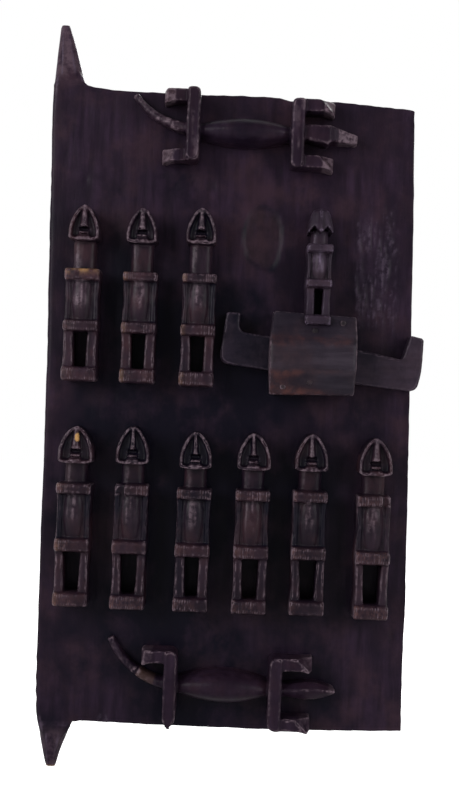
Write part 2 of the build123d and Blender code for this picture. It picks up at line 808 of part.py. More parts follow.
print("bolt axis", round(cos(bolt_angle), 5), round(-sin(bolt_angle), 5))
print("bolt travel", -bolt_return, bolt_throw)
print("tumbler length", round(tumbler_length, 2), "row gap", round(row_gap, 2))
print("case x, z", round(case_x, 2), round(case_z, 2), "channel z", round(channel_z, 2))
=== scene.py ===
"""Dressed model of a Dogon granary door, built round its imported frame.

The plank is one closed lattice surface whose hinge side runs on into two whittled pivots. The figures,
the lizards and the lock are rows of rounded sections, joined into one skin each, then dented by the
marks of the adze and knife and worn at their edges. Lengths are millimetres in the door's own frame:
+X from the hinge edge to the free edge, +Z up, the carved front facing -Y. Meshes are written in metres.
"""

import logging
import math
from dataclasses import dataclass, replace
from enum import Enum
from typing import Callable, Optional, Sequence, Union

import bpy
import numpy as np
import numpy.typing as npt
from mathutils import Matrix, Vector


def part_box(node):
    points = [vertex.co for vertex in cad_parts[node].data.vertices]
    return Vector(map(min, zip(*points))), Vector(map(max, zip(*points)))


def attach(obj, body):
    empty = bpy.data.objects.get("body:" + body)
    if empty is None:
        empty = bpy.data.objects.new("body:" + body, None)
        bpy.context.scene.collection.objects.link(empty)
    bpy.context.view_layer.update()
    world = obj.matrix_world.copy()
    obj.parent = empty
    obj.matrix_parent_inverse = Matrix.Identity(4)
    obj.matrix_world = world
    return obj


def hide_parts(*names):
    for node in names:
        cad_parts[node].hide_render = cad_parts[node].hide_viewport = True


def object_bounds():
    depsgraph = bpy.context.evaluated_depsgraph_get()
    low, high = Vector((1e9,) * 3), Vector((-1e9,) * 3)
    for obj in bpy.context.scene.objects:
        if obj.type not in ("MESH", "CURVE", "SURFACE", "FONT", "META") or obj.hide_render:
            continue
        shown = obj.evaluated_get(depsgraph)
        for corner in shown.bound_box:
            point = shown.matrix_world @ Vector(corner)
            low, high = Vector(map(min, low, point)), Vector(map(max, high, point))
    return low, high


Array = npt.NDArray[np.float64]
Whole = npt.NDArray[np.int64]
Side = Union[float, Callable[[Array], Array]]  # a number, or a function of the share of the way along
Value = Union[float, tuple[float, ...], bpy.types.NodeSocket]  # a shader socket's constant, or a link to it
Sockets = dict[str, bpy.types.NodeSocket]

LOG = logging.getLogger("granary_door")
MM = 0.001
PLANK_FRONT = 12.0  # the carved face lies this far in front of the pivot axis
SINK = 2.6  # carvings reach this far into the plank, past its dents
BOX_MARGIN = 0.05  # every piece stays this far inside the frame's box

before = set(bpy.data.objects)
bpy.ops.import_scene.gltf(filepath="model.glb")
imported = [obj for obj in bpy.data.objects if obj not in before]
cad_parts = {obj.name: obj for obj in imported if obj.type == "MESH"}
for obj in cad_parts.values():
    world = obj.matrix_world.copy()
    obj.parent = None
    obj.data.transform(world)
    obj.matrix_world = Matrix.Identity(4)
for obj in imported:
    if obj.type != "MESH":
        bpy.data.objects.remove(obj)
CAD_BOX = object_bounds()


# ---------------------------------------------------------------------------
# Noise and curves
# ---------------------------------------------------------------------------
def cell_values(cells: Whole, seed: int) -> Array:
    """Give every lattice cell a fixed value from 0 to 1.

    The three whole numbers are multiplied by large primes, added, and mixed by shifts.

    Args:
        cells: Whole-number corners, shape (..., 3).
        seed: Picks another set of values.

    Returns:
        Values of shape (...).
    """
    mixed = cells[..., 0] * 374761393 + cells[..., 1] * 668265263 + cells[..., 2] * 1440662683
    mixed = (mixed + seed * 1274126177) & 0xFFFFFFFF
    mixed = ((mixed ^ (mixed >> 13)) * 1103515245) & 0xFFFFFFFF
    mixed = ((mixed ^ (mixed >> 16)) * 668265263) & 0xFFFFFFFF
    return ((mixed ^ (mixed >> 15)) & 0xFFFFFF) / float(0xFFFFFF)


def smooth_noise(points: Array, size: Sequence[float], seed: int) -> Array:
    """Rolling noise from -1 to 1.

    A point's value is the average of its cell's eight corners, weighted by 3t^2 - 2t^3 along each axis.

    Args:
        points: Shape (n, 3), millimetres.
        size: Cell size along each axis.
        seed: Picks another field.

    Returns:
        One value a point.
    """
    scaled = points / np.asarray(size, float)
    base = np.floor(scaled).astype(np.int64)
    part = scaled - base
    part = part * part * (3 - 2 * part)
    total = np.zeros(len(points))
    for corner in range(8):
        step = np.array([corner & 1, (corner >> 1) & 1, (corner >> 2) & 1])
        weight = np.prod(np.where(step == 1, part, 1 - part), axis=1)
        total += weight * cell_values(base + step, seed)
    return 2 * total - 1


def face_noise(x: Array, z: Array, size: tuple[float, float], seed: int) -> Array:
    """Rolling noise over the plank's face, the same all through its thickness."""
    return smooth_noise(np.column_stack([x, 0 * x, z]), (size[0], 9, size[1]), seed)


def scoops(points: Array, size: Sequence[float], seed: int) -> Array:
    """Marks of an edge tool: 0 in the bottom of a cut, up to about 1 on the crest between two cuts.

    Every cell holds one cut, and the value is the squared distance to the nearest one.

    Args:
        points: Shape (n, 3), millimetres.
        size: Length of a cut along each axis.
        seed: Picks another set of cuts.

    Returns:
        One value a point.
    """
    scaled = points / np.asarray(size, float)
    base = np.floor(scaled).astype(np.int64)
    nearest = np.full(len(points), 9.0)
    for step in np.ndindex(3, 3, 3):
        cell = base + np.array(step) - 1
        gap = 0.0
        for axis in range(3):
            middle = cell[:, axis] + 0.15 + 0.7 * cell_values(cell, seed + axis)
            gap = gap + (scaled[:, axis] - middle) ** 2
        nearest = np.minimum(nearest, gap)
    return np.clip(nearest, 0, 1.2)


def smoothstep(low: float, high: float, values: Array) -> Array:
    """Ease from 0 at low to 1 at high, by 3t^2 - 2t^3."""
    t = np.clip((values - low) / (high - low), 0, 1)
    return t * t * (3 - 2 * t)


def fade(low: float, high: float, values: Array) -> Array:
    """Ease from 1 at low to 0 at high."""
    return 1 - smoothstep(low, high, values)


def band(rise: tuple[float, float], fall: tuple[float, float], values: Array) -> Array:
    """Ease from 0 to 1 between the first two levels, and back to 0 between the other two."""
    return smoothstep(*rise, values) * fade(*fall, values)


def blot(x: Array, z: Array, middle: tuple[float, float], size: tuple[float, float]) -> Array:
    """Soft spot: 1 in its middle, and 1 / e at its size away from it."""
    return np.exp(-((x - middle[0]) / size[0]) ** 2 - ((z - middle[1]) / size[1]) ** 2)


def rounded_outline(corners: Sequence[tuple[float, float, float]], spacing: float = 1.5) -> Array:
    """Outline of a cut board, each corner softened by a curve.

    A corner is replaced by the parabola that leaves one side at its radius from the corner and meets
    the other side at the same distance. The line is then sampled at an even spacing.

    Args:
        corners: (x, y, radius) in order round the outline.
        spacing: Distance between the points that come back.

    Returns:
        Closed loop of points, shape (n, 2), without its first point repeated.
    """
    place = np.array([corner[:2] for corner in corners], float)
    bend = np.linspace(0, 1, 7)[:, None]
    line = []
    for number, (_, _, radius) in enumerate(corners):
        here, back, ahead = place[number], place[number - 1], place[(number + 1) % len(corners)]
        start = here + (back - here) * radius / np.linalg.norm(back - here)
        end = here + (ahead - here) * radius / np.linalg.norm(ahead - here)
        line.append((1 - bend) ** 2 * start + 2 * bend * (1 - bend) * here + bend**2 * end)
    loop = np.vstack([*line, line[0][:1]])
    length = np.concatenate([[0], np.cumsum(np.linalg.norm(np.diff(loop, axis=0), axis=1))])
    stations = np.linspace(0, length[-1], max(12, int(length[-1] / spacing)), endpoint=False)
    return np.column_stack([np.interp(stations, length, loop[:, axis]) for axis in range(2)])


def loop_inset(loop: Array, distance: float) -> Array:
    """Draw a loop in along its normals.

    Args:
        loop: Closed counterclockwise loop, shape (n, 2).
        distance: How far each point moves.

    Returns:
        The inner loop, of the same shape.
    """
    along = np.roll(loop, -1, axis=0) - np.roll(loop, 1, axis=0)
    inward = np.column_stack([-along[:, 1], along[:, 0]])
    return loop + distance * inward / np.linalg.norm(inward, axis=1)[:, None]


# ---------------------------------------------------------------------------
# Shells
# ---------------------------------------------------------------------------
@dataclass
class Shell:
    """A closed surface of four-sided faces and flat ends."""

    points: Array
    quads: Whole
    ends: list[list[int]]

    def outward(self) -> "Shell":
        """Turn the faces over if the shell is inside out.

        The volume is the sum over triangles of a . (b x c) / 6, which is negative inside out.

        Returns:
            The shell, facing outwards.
        """
        tri = np.vstack([self.quads[:, [0, 1, 2]], self.quads[:, [0, 2, 3]]])
        for end in self.ends:
            fan = np.array(end)
            tri = np.vstack([tri, np.column_stack([np.full(len(fan) - 2, fan[0]), fan[1:-1], fan[2:]])])
        a, b, c = (self.points[tri[:, corner]] for corner in range(3))
        if np.einsum("ij,ij->", a, np.cross(b, c)) < 0:
            return Shell(self.points, self.quads[:, ::-1], [end[::-1] for end in self.ends])
        return self


def ring_faces(index: Whole) -> Whole:
    """Faces between rings of point numbers: points j and j + 1 of a ring and the same two of the next."""
    low, high = index[:-1], index[1:]
    return np.stack([low, np.roll(low, -1, 1), np.roll(high, -1, 1), high], axis=-1).reshape(-1, 4)


def stack(rings: Array) -> Shell:
    """Join a row of rings into a shell, with a flat face at each end.

    Args:
        rings: Shape (rings, points, 3).

    Returns:
        The shell, facing outwards.
    """
    count, around = rings.shape[:2]
    index = np.arange(count * around).reshape(count, around)
    ends = [index[0, ::-1].tolist(), index[-1].tolist()]
    return Shell(rings.reshape(-1, 3), ring_faces(index), ends).outward()


def run(start: float, end: float, easing: float, steps: int = 14) -> tuple[Array, Array]:
    """Levels from start to end, and how far a section draws in at each.

    At an end the section follows a quarter circle: it draws in by r(1 - sin f) at r(1 - cos f).

    Args:
        start: First level.
        end: Last level.
        easing: Radius of the quarter circle.
        steps: Levels between the two.

    Returns:
        Levels and insets.
    """
    turn = np.linspace(0, math.pi / 2, 5)[:-1]
    near, inset = easing * (1 - np.cos(turn)), easing * (1 - np.sin(turn))
    middle = np.linspace(start + easing, end - easing, steps)
    levels = np.concatenate([start + near, middle, (end - near)[::-1]])
    return levels, np.concatenate([inset, np.zeros(steps), inset[::-1]])


def soft_loops(low: Array, high: Array, near: Array, far: Array, power: float, count: int = 48) -> Array:
    """Rounded boxes: u = centre + half * sign(cos t) |cos t|^(2 / power), and v with sin t.

    Args:
        low: Lower side of each box in u.
        high: Upper side in u.
        near: Lower side in v.
        far: Upper side in v.
        power: Squareness of the corners, 2 for an ellipse.
        count: Points round a box.

    Returns:
        Shape (boxes, points, 2).
    """
    t = np.linspace(0, 2 * math.pi, count, endpoint=False)
    u = np.sign(np.cos(t)) * np.abs(np.cos(t)) ** (2 / power)
    v = np.sign(np.sin(t)) * np.abs(np.sin(t)) ** (2 / power)
    low, high, near, far = (np.atleast_1d(side)[:, None] for side in (low, high, near, far))
    return np.stack(np.broadcast_arrays((low + high) / 2 + (high - low) / 2 * u,
                                        (near + far) / 2 + (far - near) / 2 * v), axis=-1)


@dataclass(frozen=True)
class Grip:
    """How a block's section draws in and rounds."""

    easing: float = 1.0
    power: float = 9.0


def post(span: tuple[float, float], left: Side, right: Side, depth: Side, base: float = -SINK,
         grip: Grip = Grip()) -> Shell:
    """Upright block: sections across it, carried up from span's start to its end.

    Args:
        span: Lowest and highest level.
        left: Left side.
        right: Right side.
        depth: Front.
        base: Back.
        grip: Rounding.

    Returns:
        The shell in (across, up, out).
    """
    levels, inset = run(*span, grip.easing)
    share = (levels - span[0]) / (span[1] - span[0])
    low, high, far = (side(share) if callable(side) else np.full(len(share), float(side))
                      for side in (left, right, depth))
    loops = soft_loops(low + inset, high - inset, np.full(len(share), base), far - inset, grip.power)
    up = np.broadcast_to(levels[:, None], loops.shape[:2])
    return stack(np.stack([loops[..., 0], up, loops[..., 1]], axis=-1))


def beam(span: tuple[float, float], bottom: Side, top: Side, depth: Side, base: float = -SINK,
         grip: Grip = Grip()) -> Shell:
    """Block that lies across: sections carried from span's start to its end.

    Args:
        span: Leftmost and rightmost place.
        bottom: Lower side.
        top: Upper side.
        depth: Front.
        base: Back.
        grip: Rounding.

    Returns:
        The shell in (across, up, out).
    """
    shell = post(span, bottom, top, depth, base, grip)
    return Shell(shell.points[:, [1, 0, 2]], shell.quads, shell.ends).outward()


def sweep(path: Array, width: Array, front: Array, base: Array, power: float) -> Shell:
    """Carry a rounded section along a path on the face.

    At a path point the section spans half the width to each side of the path's normal, and runs from
    base to front.

    Args:
        path: Shape (n, 2), (across, up).
        width: Section width at each point.
        front: Its front at each point.
        base: Its back at each point.
        power: Squareness of the section.

    Returns:
        The shell in (across, up, out).
    """
    along = np.gradient(path, axis=0)
    along /= np.linalg.norm(along, axis=1)[:, None]
    normal = np.column_stack([-along[:, 1], along[:, 0]])
    loops = soft_loops(-width / 2, width / 2, base, front, power, 28)
    across = path[:, None, :] + normal[:, None, :] * loops[..., :1]
    return stack(np.concatenate([across, loops[..., 1:]], axis=-1))


def board(outline: Array, base: float, front: float, easing: float) -> Shell:
    """Cut board: its outline carried from base to front, drawn in by a quarter circle at both faces.

    Args:
        outline: Closed loop of points, in either direction.
        base: Its back.
        front: Its front.
        easing: Radius at the two faces' edges.

    Returns:
        The shell in (across, up, out).
    """
    x, y = outline.T
    if np.sum(x * np.roll(y, -1) - np.roll(x, -1) * y) < 0:
        outline = outline[::-1]
    outs, insets = run(base, front, easing, 6)
    rings = [np.column_stack([loop_inset(outline, inset), np.full(len(outline), out)])
             for out, inset in zip(outs, insets)]
    return stack(np.stack(rings))


def slab(places: Array, low: Array, high: Array, front: Callable[[Array, Array], Array], base: float = -SINK,
         rows: int = 60) -> Shell:
    """Carved slab whose front is a height over its outline.

    A column of points stands at each place and runs from the slab's lower to its upper side at even
    shares. The front's points stand out by the height at (across, up), and the back's lie at the base.

    Args:
        places: Where the columns stand, across.
        low: Lower side at each.
        high: Upper side at each.
        front: The front's height at (across, up).
        base: Its back.
        rows: Points in a column.

    Returns:
        The shell in (across, up, out).
    """
    up = low[:, None] + (high - low)[:, None] * np.linspace(0, 1, rows)
    across = np.broadcast_to(places[:, None], up.shape)
    face = np.stack([across, up, front(across, up)], axis=-1)
    back = np.stack([across, up, np.full(up.shape, base)], axis=-1)
    return stack(np.concatenate([face, back[:, ::-1]], axis=1))


# ---------------------------------------------------------------------------
# Skins: remeshed carvings that can be dented and worn
# ---------------------------------------------------------------------------
@dataclass(frozen=True)
class Wear:
    """How a carving's surface was cut and used, in millimetres."""

    cut: tuple[float, float, float] = (7.0, 18.0, 7.0)  # a knife cut across, along and out
    cut_depth: float = 0.45
    sway: float = 0.55  # how far the carver's lines wander
    chip: float = 0.9  # depth of the chips at edges
    seed: int = 1


class Skin:
    """A closed mesh whose points are handled as whole arrays."""

    def __init__(self, mesh: bpy.types.Mesh) -> None:
        """Read a mesh's points and edges.

        Args:
            mesh: The mesh, in millimetres.
        """
        self.mesh = mesh
        count = len(mesh.vertices)
        flat = np.empty(count * 3)
        mesh.vertices.foreach_get("co", flat)
        self.points = flat.reshape(-1, 3)
        pairs = np.empty(len(mesh.edges) * 2, np.int32)
        mesh.edges.foreach_get("vertices", pairs)
        self.pairs = pairs.reshape(-1, 2)
        self.degree = np.maximum(np.bincount(self.pairs.ravel(), minlength=count), 1)

    def spread(self, values: Array) -> Array:
        """Average the values of each point's neighbours.

        Args:
            values: One value a point, or several.

        Returns:
            Averages of the same shape.
        """
        if values.ndim == 2:
            return np.column_stack([self.spread(values[:, axis]) for axis in range(values.shape[1])])
        first, second = self.pairs.T
        count = len(values)
        total = np.bincount(first, values[second], count) + np.bincount(second, values[first], count)
        return total / self.degree

    def normals(self) -> Array:
        """Work out the outward normals where the points are now.

        Returns:
            One normal a point.
        """
        self.mesh.vertices.foreach_set("co", self.points.ravel())
        self.mesh.update()
        flat = np.empty(len(self.points) * 3, np.float32)
        self.mesh.vertex_normals.foreach_get("vector", flat)
        return flat.reshape(-1, 3).astype(float)

    def smooth(self, times: int) -> None:
        """Soften the skin: each point moves half way to its neighbours, then nearly as far back.

        Args:
            times: How many times over.
        """
        for _ in range(times):
            for share in (0.5, -0.48):
                self.points += share * (self.spread(self.points) - self.points)

    def bend(self, reach: int) -> Array:
        """Measure how far each point stands above its neighbours.

        Args:
            reach: How many times the heights are averaged with their neighbours'.

        Returns:
            One height a point, below zero in a hollow.
        """
        out = np.einsum("ij,ij->i", self.points - self.spread(self.points), self.normals())
        for _ in range(reach):
            out = 0.5 * (out + self.spread(out))
        return out

    def dent(self, wear: Wear, hold: Optional[Array] = None) -> None:
        """Cut and wear the skin.

        The points sway by slow noise. They then move along their normals: out on the crests between
        knife cuts, in on the cuts, and in where noise picks a sharp edge for a chip.

        Args:
            wear: Sizes of the marks.
            hold: Share of the marks that each point takes, all of them where left out.
        """
        keep = np.ones(len(self.points)) if hold is None else hold
        for axis in range(3):
            slow = smooth_noise(self.points, (26, 30, 26), wear.seed + 11 * axis)
            self.points[:, axis] += wear.sway * keep * slow * (1.0, 0.6, 0.7)[axis]
        edge = smoothstep(0.03, 0.11, self.bend(2))
        pick = smoothstep(0.15, 0.6, smooth_noise(self.points, (5, 6, 5), wear.seed + 51))
        marks = wear.cut_depth * (scoops(self.points, wear.cut, wear.seed) - 0.45)
        fine = 0.10 * smooth_noise(self.points, (1.8, 5, 1.8), wear.seed + 71)
        move = keep * (marks + fine - wear.chip * edge * pick - 0.25 * edge)
        self.points += self.normals() * move[:, None]
        self.smooth(1)


def put(name: str, data: bpy.types.ID) -> bpy.types.Object:
    """Place data in the scene.

    Args:
        name: The object's name.
        data: Its mesh, lamp or camera.

    Returns:
        The object.
    """
    made = bpy.data.objects.new(name, data)
    bpy.context.scene.collection.objects.link(made)
    return made


def skin_from(shells: Sequence[Shell], voxel: float, cutters: Sequence[Shell] = ()) -> Skin:
    """Join shells into one skin.

    Cutters are taken away first, by exact differences. What is left becomes one surface of even
    four-sided faces, one voxel across.

    Args:
        shells: Closed shells that overlap.
        voxel: Size of a face.
        cutters: Closed shells to take away.

    Returns:
        The skin, in millimetres.
    """
    body = put("blank", mesh_of(shells))
    tools = [put("cutter", mesh_of([cutter])) for cutter in cutters]
    for tool in tools:
        cut = body.modifiers.new("cut", "BOOLEAN")
        cut.operation, cut.solver, cut.object = "DIFFERENCE", "EXACT", tool
    remesh = body.modifiers.new("skin", "REMESH")
    remesh.mode, remesh.voxel_size = "VOXEL", voxel
    bpy.context.view_layer.update()
    made = body.evaluated_get(bpy.context.evaluated_depsgraph_get())
    mesh = bpy.data.meshes.new_from_object(made)
    for spare in [body, *tools]:
        bpy.data.objects.remove(spare)
    return Skin(mesh)


def mesh_of(shells: Sequence[Shell]) -> bpy.types.Mesh:
    """Write shells into one mesh.

    Args:
        shells: Shells, in millimetres.

    Returns:
        The mesh, in millimetres.
    """
    points, faces, first = [], [], 0
    for shell in shells:
        points.append(shell.points)
        faces += (shell.quads + first).tolist()
        faces += [[corner + first for corner in end] for end in shell.ends]
        first += len(shell.points)
    mesh = bpy.data.meshes.new("shells")
    mesh.from_pydata(np.vstack(points).tolist(), [], faces)
    mesh.update()
    return mesh


@dataclass(frozen=True)
class Seat:
    """Where a carving stands on the plank's face."""

    x: float
    z: float
    lean: float = 0.0  # degrees, clockwise

    def place(self, points: Array) -> Array:
        """Move points into the door's frame: a turn about the face's normal and a shift.

        Args:
            points: Shape (n, 3), each (across, up, out).

        Returns:
            Shape (n, 3), each (x, y, z).
        """
        turn = math.radians(self.lean)
        across, up, out = points.T
        x = self.x + across * math.cos(turn) + up * math.sin(turn)
        z = self.z - across * math.sin(turn) + up * math.cos(turn)
        return np.column_stack([x, -PLANK_FRONT - out, z])


@dataclass(frozen=True)
class Marks:
    """What the finish follows at each point of a piece, each from 0 to 1."""

    # worn wood on the edges, with a painted highlight along them
    worn_and_sheen: Array
    # hollows: dust, with painted shade in them
    hollow: Array
    rubbed: Array
    fresh: Array
    soot: Array


def piece_from(skin: Skin, seat: Optional[Seat], marks: Marks, name: str) -> bpy.types.Object:
    """Write a skin as a piece in the door's frame, with its marks as one colour attribute.

    Args:
        skin: The finished skin.
        seat: Where it stands. None where its points are in the door's frame already.
        marks: Worn wood with a painted highlight, hollows with dust and painted shade, rubbed, fresh and sooty
            wood.
        name: The piece's name.

    Returns:
        The object, at the origin.
    """
    points = seat.place(skin.points) if seat else skin.points
    low, high = (np.array(corner) / MM for corner in CAD_BOX)
    points = np.clip(points, low + BOX_MARGIN, high - BOX_MARGIN)
    mesh = skin.mesh
    mesh.vertices.foreach_set("co", (points * MM).astype(np.float32).ravel())
    mesh.name = name
    colours = np.column_stack([marks.worn_and_sheen, marks.hollow, marks.rubbed, marks.fresh])
    layer = mesh.attributes.new("marks", "FLOAT_COLOR", "POINT")
    layer.data.foreach_set("color", colours.astype(np.float32).ravel())
    smoke = mesh.attributes.new("soot", "FLOAT", "POINT")
    smoke.data.foreach_set("value", marks.soot.astype(np.float32))
    mesh.shade_smooth()
    mesh.update()
    return put(name, mesh)


def edge_marks(skin: Skin, rubbed: Union[float, Array] = 0.0, fresh: Union[float, Array] = 0.0,
               soot: Union[float, Array] = 0.0) -> Marks:
    """Marks of a skin: worn wood and a painted highlight where it bulges, dust and painted shade where it
    sinks, and the rest as given.

    Args:
        skin: The finished skin.
        rubbed: A number or one a point.
        fresh: Likewise.
        soot: Likewise.

    Returns:
        The marks.
    """
    sharp = skin.bend(2)
    broad = skin.bend(14)
    flat = np.zeros(len(skin.points))
    return Marks(smoothstep(0.015, 0.10, sharp), smoothstep(0.004, 0.05, -broad),
                 flat + rubbed, flat + fresh, np.clip(flat + soot, 0, 1))


# ---------------------------------------------------------------------------
# Finishes
# ---------------------------------------------------------------------------
def linear(red: int, green: int, blue: int) -> tuple[float, float, float, float]:
    """Turn a display colour into a linear one.

    Args:
        red: From 0 to 255.
        green: Likewise.
        blue: Likewise.

    Returns:
        Red, green, blue and opacity, from 0 to 1.
    """
    parts = [value / 255 for value in (red, green, blue)]
    parts = [part / 12.92 if part <= 0.04045 else ((part + 0.055) / 1.055) ** 2.4 for part in parts]
    return parts[0], parts[1], parts[2], 1.0


class Nodes:
    """A node tree that is filled one node at a time."""

    def __init__(self, tree: bpy.types.NodeTree) -> None:
        """Hold the tree."""
        self.tree = tree

    def add(self, kind: str, inputs: Optional[dict[Union[int, str], Value]] = None,
            **settings: object) -> bpy.types.Node:
        """Add a node.

        Args:
            kind: Its type.
            inputs: What fills its inputs, by name or number.
            settings: Its properties.

        Returns:
            The node.
        """
        node = self.tree.nodes.new(kind)
        for name, value in settings.items():
            setattr(node, name, value)
        for name, value in (inputs or {}).items():
            socket = node.inputs[name]
            if isinstance(value, bpy.types.NodeSocket):
                self.tree.links.new(value, socket)
            else:
                socket.default_value = value
        return node

    def maths(self, operation: str, first: Value, second: Value = 0.0, third: Value = 0.0,
              clamp: bool = False) -> bpy.types.NodeSocket:
        """Number worked out from up to three others."""
        inputs = {0: first, 1: second, 2: third}
        return self.add("ShaderNodeMath", inputs, operation=operation, use_clamp=clamp).outputs[0]

    def ramp(self, value: Value, low: float, high: float) -> bpy.types.NodeSocket:
        """Ease a number from 0 at low to 1 at high."""
        inputs = {"Value": value, "From Min": low, "From Max": high}
        return self.add("ShaderNodeMapRange", inputs, interpolation_type="SMOOTHSTEP").outputs["Result"]

    def blend(self, share: Value, first: Value, second: Value) -> bpy.types.NodeSocket:
        """Colour between two others."""
        return self.add("ShaderNodeMix", {0: share, 6: first, 7: second}, data_type="RGBA").outputs[2]

    def noise(self, vector: Value, scale: Value, detail: float, rough: float) -> bpy.types.NodeSocket:
        """Noise from 0 to 1 at a place."""
        inputs = {"Vector": vector, "Scale": scale, "Detail": detail, "Roughness": rough}
        return self.add("ShaderNodeTexNoise", inputs).outputs["Fac"]


def empty_nodes(owner: Union[bpy.types.Material, bpy.types.World]) -> Nodes:
    """Clear the node tree of a material or a world.

    Args:
        owner: The material or the world.

    Returns:
        Its nodes, to be filled.
    """
    owner.use_nodes = True
    owner.node_tree.nodes.clear()
    return Nodes(owner.node_tree)


def make_group(name: str, inputs: dict[str, str], outputs: dict[str, str]) -> tuple[Nodes, Sockets, Sockets]:
    """Start a shader node group.

    Args:
        name: The group's name.
        inputs: Socket type of each input.
        outputs: Socket type of each output.

    Returns:
        The group's nodes, its input values by name and the sockets to fill by name.
    """
    tree = bpy.data.node_groups.new(name, "ShaderNodeTree")
    for side, sockets in (("INPUT", inputs), ("OUTPUT", outputs)):
        for label, kind in sockets.items():
            tree.interface.new_socket(label, in_out=side, socket_type=kind)
    nodes = Nodes(tree)
    given = nodes.add("NodeGroupInput").outputs
    wanted = nodes.add("NodeGroupOutput").inputs
    return nodes, {label: given[label] for label in inputs}, {label: wanted[label] for label in outputs}


FLOAT, VECTOR = "NodeSocketFloat", "NodeSocketVector"


def fibre_group() -> bpy.types.NodeTree:
    """Wood fibre: broad streaks and fine pores, drawn out along the grain, and the height they make.

    Returns:
        The group's tree.
    """
    nodes, given, wanted = make_group(
        "wood_fibre", {"Place": VECTOR, "Stretch": VECTOR}, {"Streak": FLOAT, "Pore": FLOAT, "Height": FLOAT})
    drawn = nodes.add("ShaderNodeVectorMath", {0: given["Place"], 1: given["Stretch"]}, operation="MULTIPLY")
    sway = nodes.add("ShaderNodeTexNoise", {"Vector": drawn.outputs[0], "Scale": 9.0, "Detail": 2.0})
    bent = nodes.add("ShaderNodeVectorMath", {0: sway.outputs["Color"], 1: (0.012,) * 3, 2: drawn.outputs[0]},
                     operation="MULTIPLY_ADD").outputs[0]
    streak = nodes.noise(bent, 130.0, 4.0, 0.6)
    pore = nodes.noise(bent, 620.0, 3.0, 0.65)
    height = nodes.maths("ADD", nodes.maths("MULTIPLY", streak, 0.65), nodes.maths("MULTIPLY", pore, 0.35))
    for label, value in (("Streak", streak), ("Pore", pore), ("Height", height)):
        nodes.tree.links.new(value, wanted[label])
    return nodes.tree


def patch_group() -> bpy.types.NodeTree:
    """Patches of old handling and smoke: slow clouds that make the wood warmer or darker.

    Returns:
        The group's tree.
    """
    nodes, given, wanted = make_group("patina_patches", {"Place": VECTOR}, {"Warm": FLOAT, "Dark": FLOAT})
    shifted = nodes.add("ShaderNodeVectorMath", {0: given["Place"], 1: (3.1, 1.7, 5.3)}, operation="ADD")
    warm = nodes.ramp(nodes.noise(given["Place"], 23.0, 6.0, 0.66), 0.42, 0.64)
    dark = nodes.ramp(nodes.noise(shifted.outputs[0], 15.0, 7.0, 0.68), 0.40, 0.64)
    nodes.tree.links.new(warm, wanted["Warm"])
    nodes.tree.links.new(dark, wanted["Dark"])
    return nodes.tree


def breakup_group() -> bpy.types.NodeTree:
    """A piece's mark broken up by noise where hands and tools missed it: its pale edges, which are worn wood
    with a painted highlight, and its rubbed wood.

    Returns:
        The group's tree.
    """
    nodes, given, wanted = make_group(
        "broken_mark", {"Place": VECTOR, "Mark": FLOAT, "Fineness": FLOAT, "Amount": FLOAT}, {"Share": FLOAT})
    broken = nodes.noise(given["Place"], given["Fineness"], 4.0, 0.7)
    raised = nodes.maths("MULTIPLY", given["Mark"], nodes.ramp(broken, 0.26, 0.62))
    share = nodes.maths("MULTIPLY", nodes.ramp(raised, 0.02, 0.95), given["Amount"], clamp=True)
    nodes.tree.links.new(share, wanted["Share"])
    return nodes.tree


def dust_and_shade_group() -> bpy.types.NodeTree:
    """Dust and soot settled in hollows, with painted shade there, thicker in some places than in others.

    Returns:
        The group's tree.
    """
    nodes, given, wanted = make_group("settled_dust_and_shade", {"Place": VECTOR, "Mark": FLOAT}, {"Share": FLOAT})
    cloud = nodes.ramp(nodes.noise(given["Place"], 60.0, 5.0, 0.7), 0.35, 0.72)
    nodes.tree.links.new(nodes.maths("MULTIPLY", given["Mark"], cloud, clamp=True), wanted["Share"])
    return nodes.tree


class Grain(Enum):
    """Which way the wood's fibre runs, as how much each axis is drawn out."""

    UPRIGHT = (1.0, 1.0, 0.12)
    ACROSS = (0.12, 1.0, 1.0)


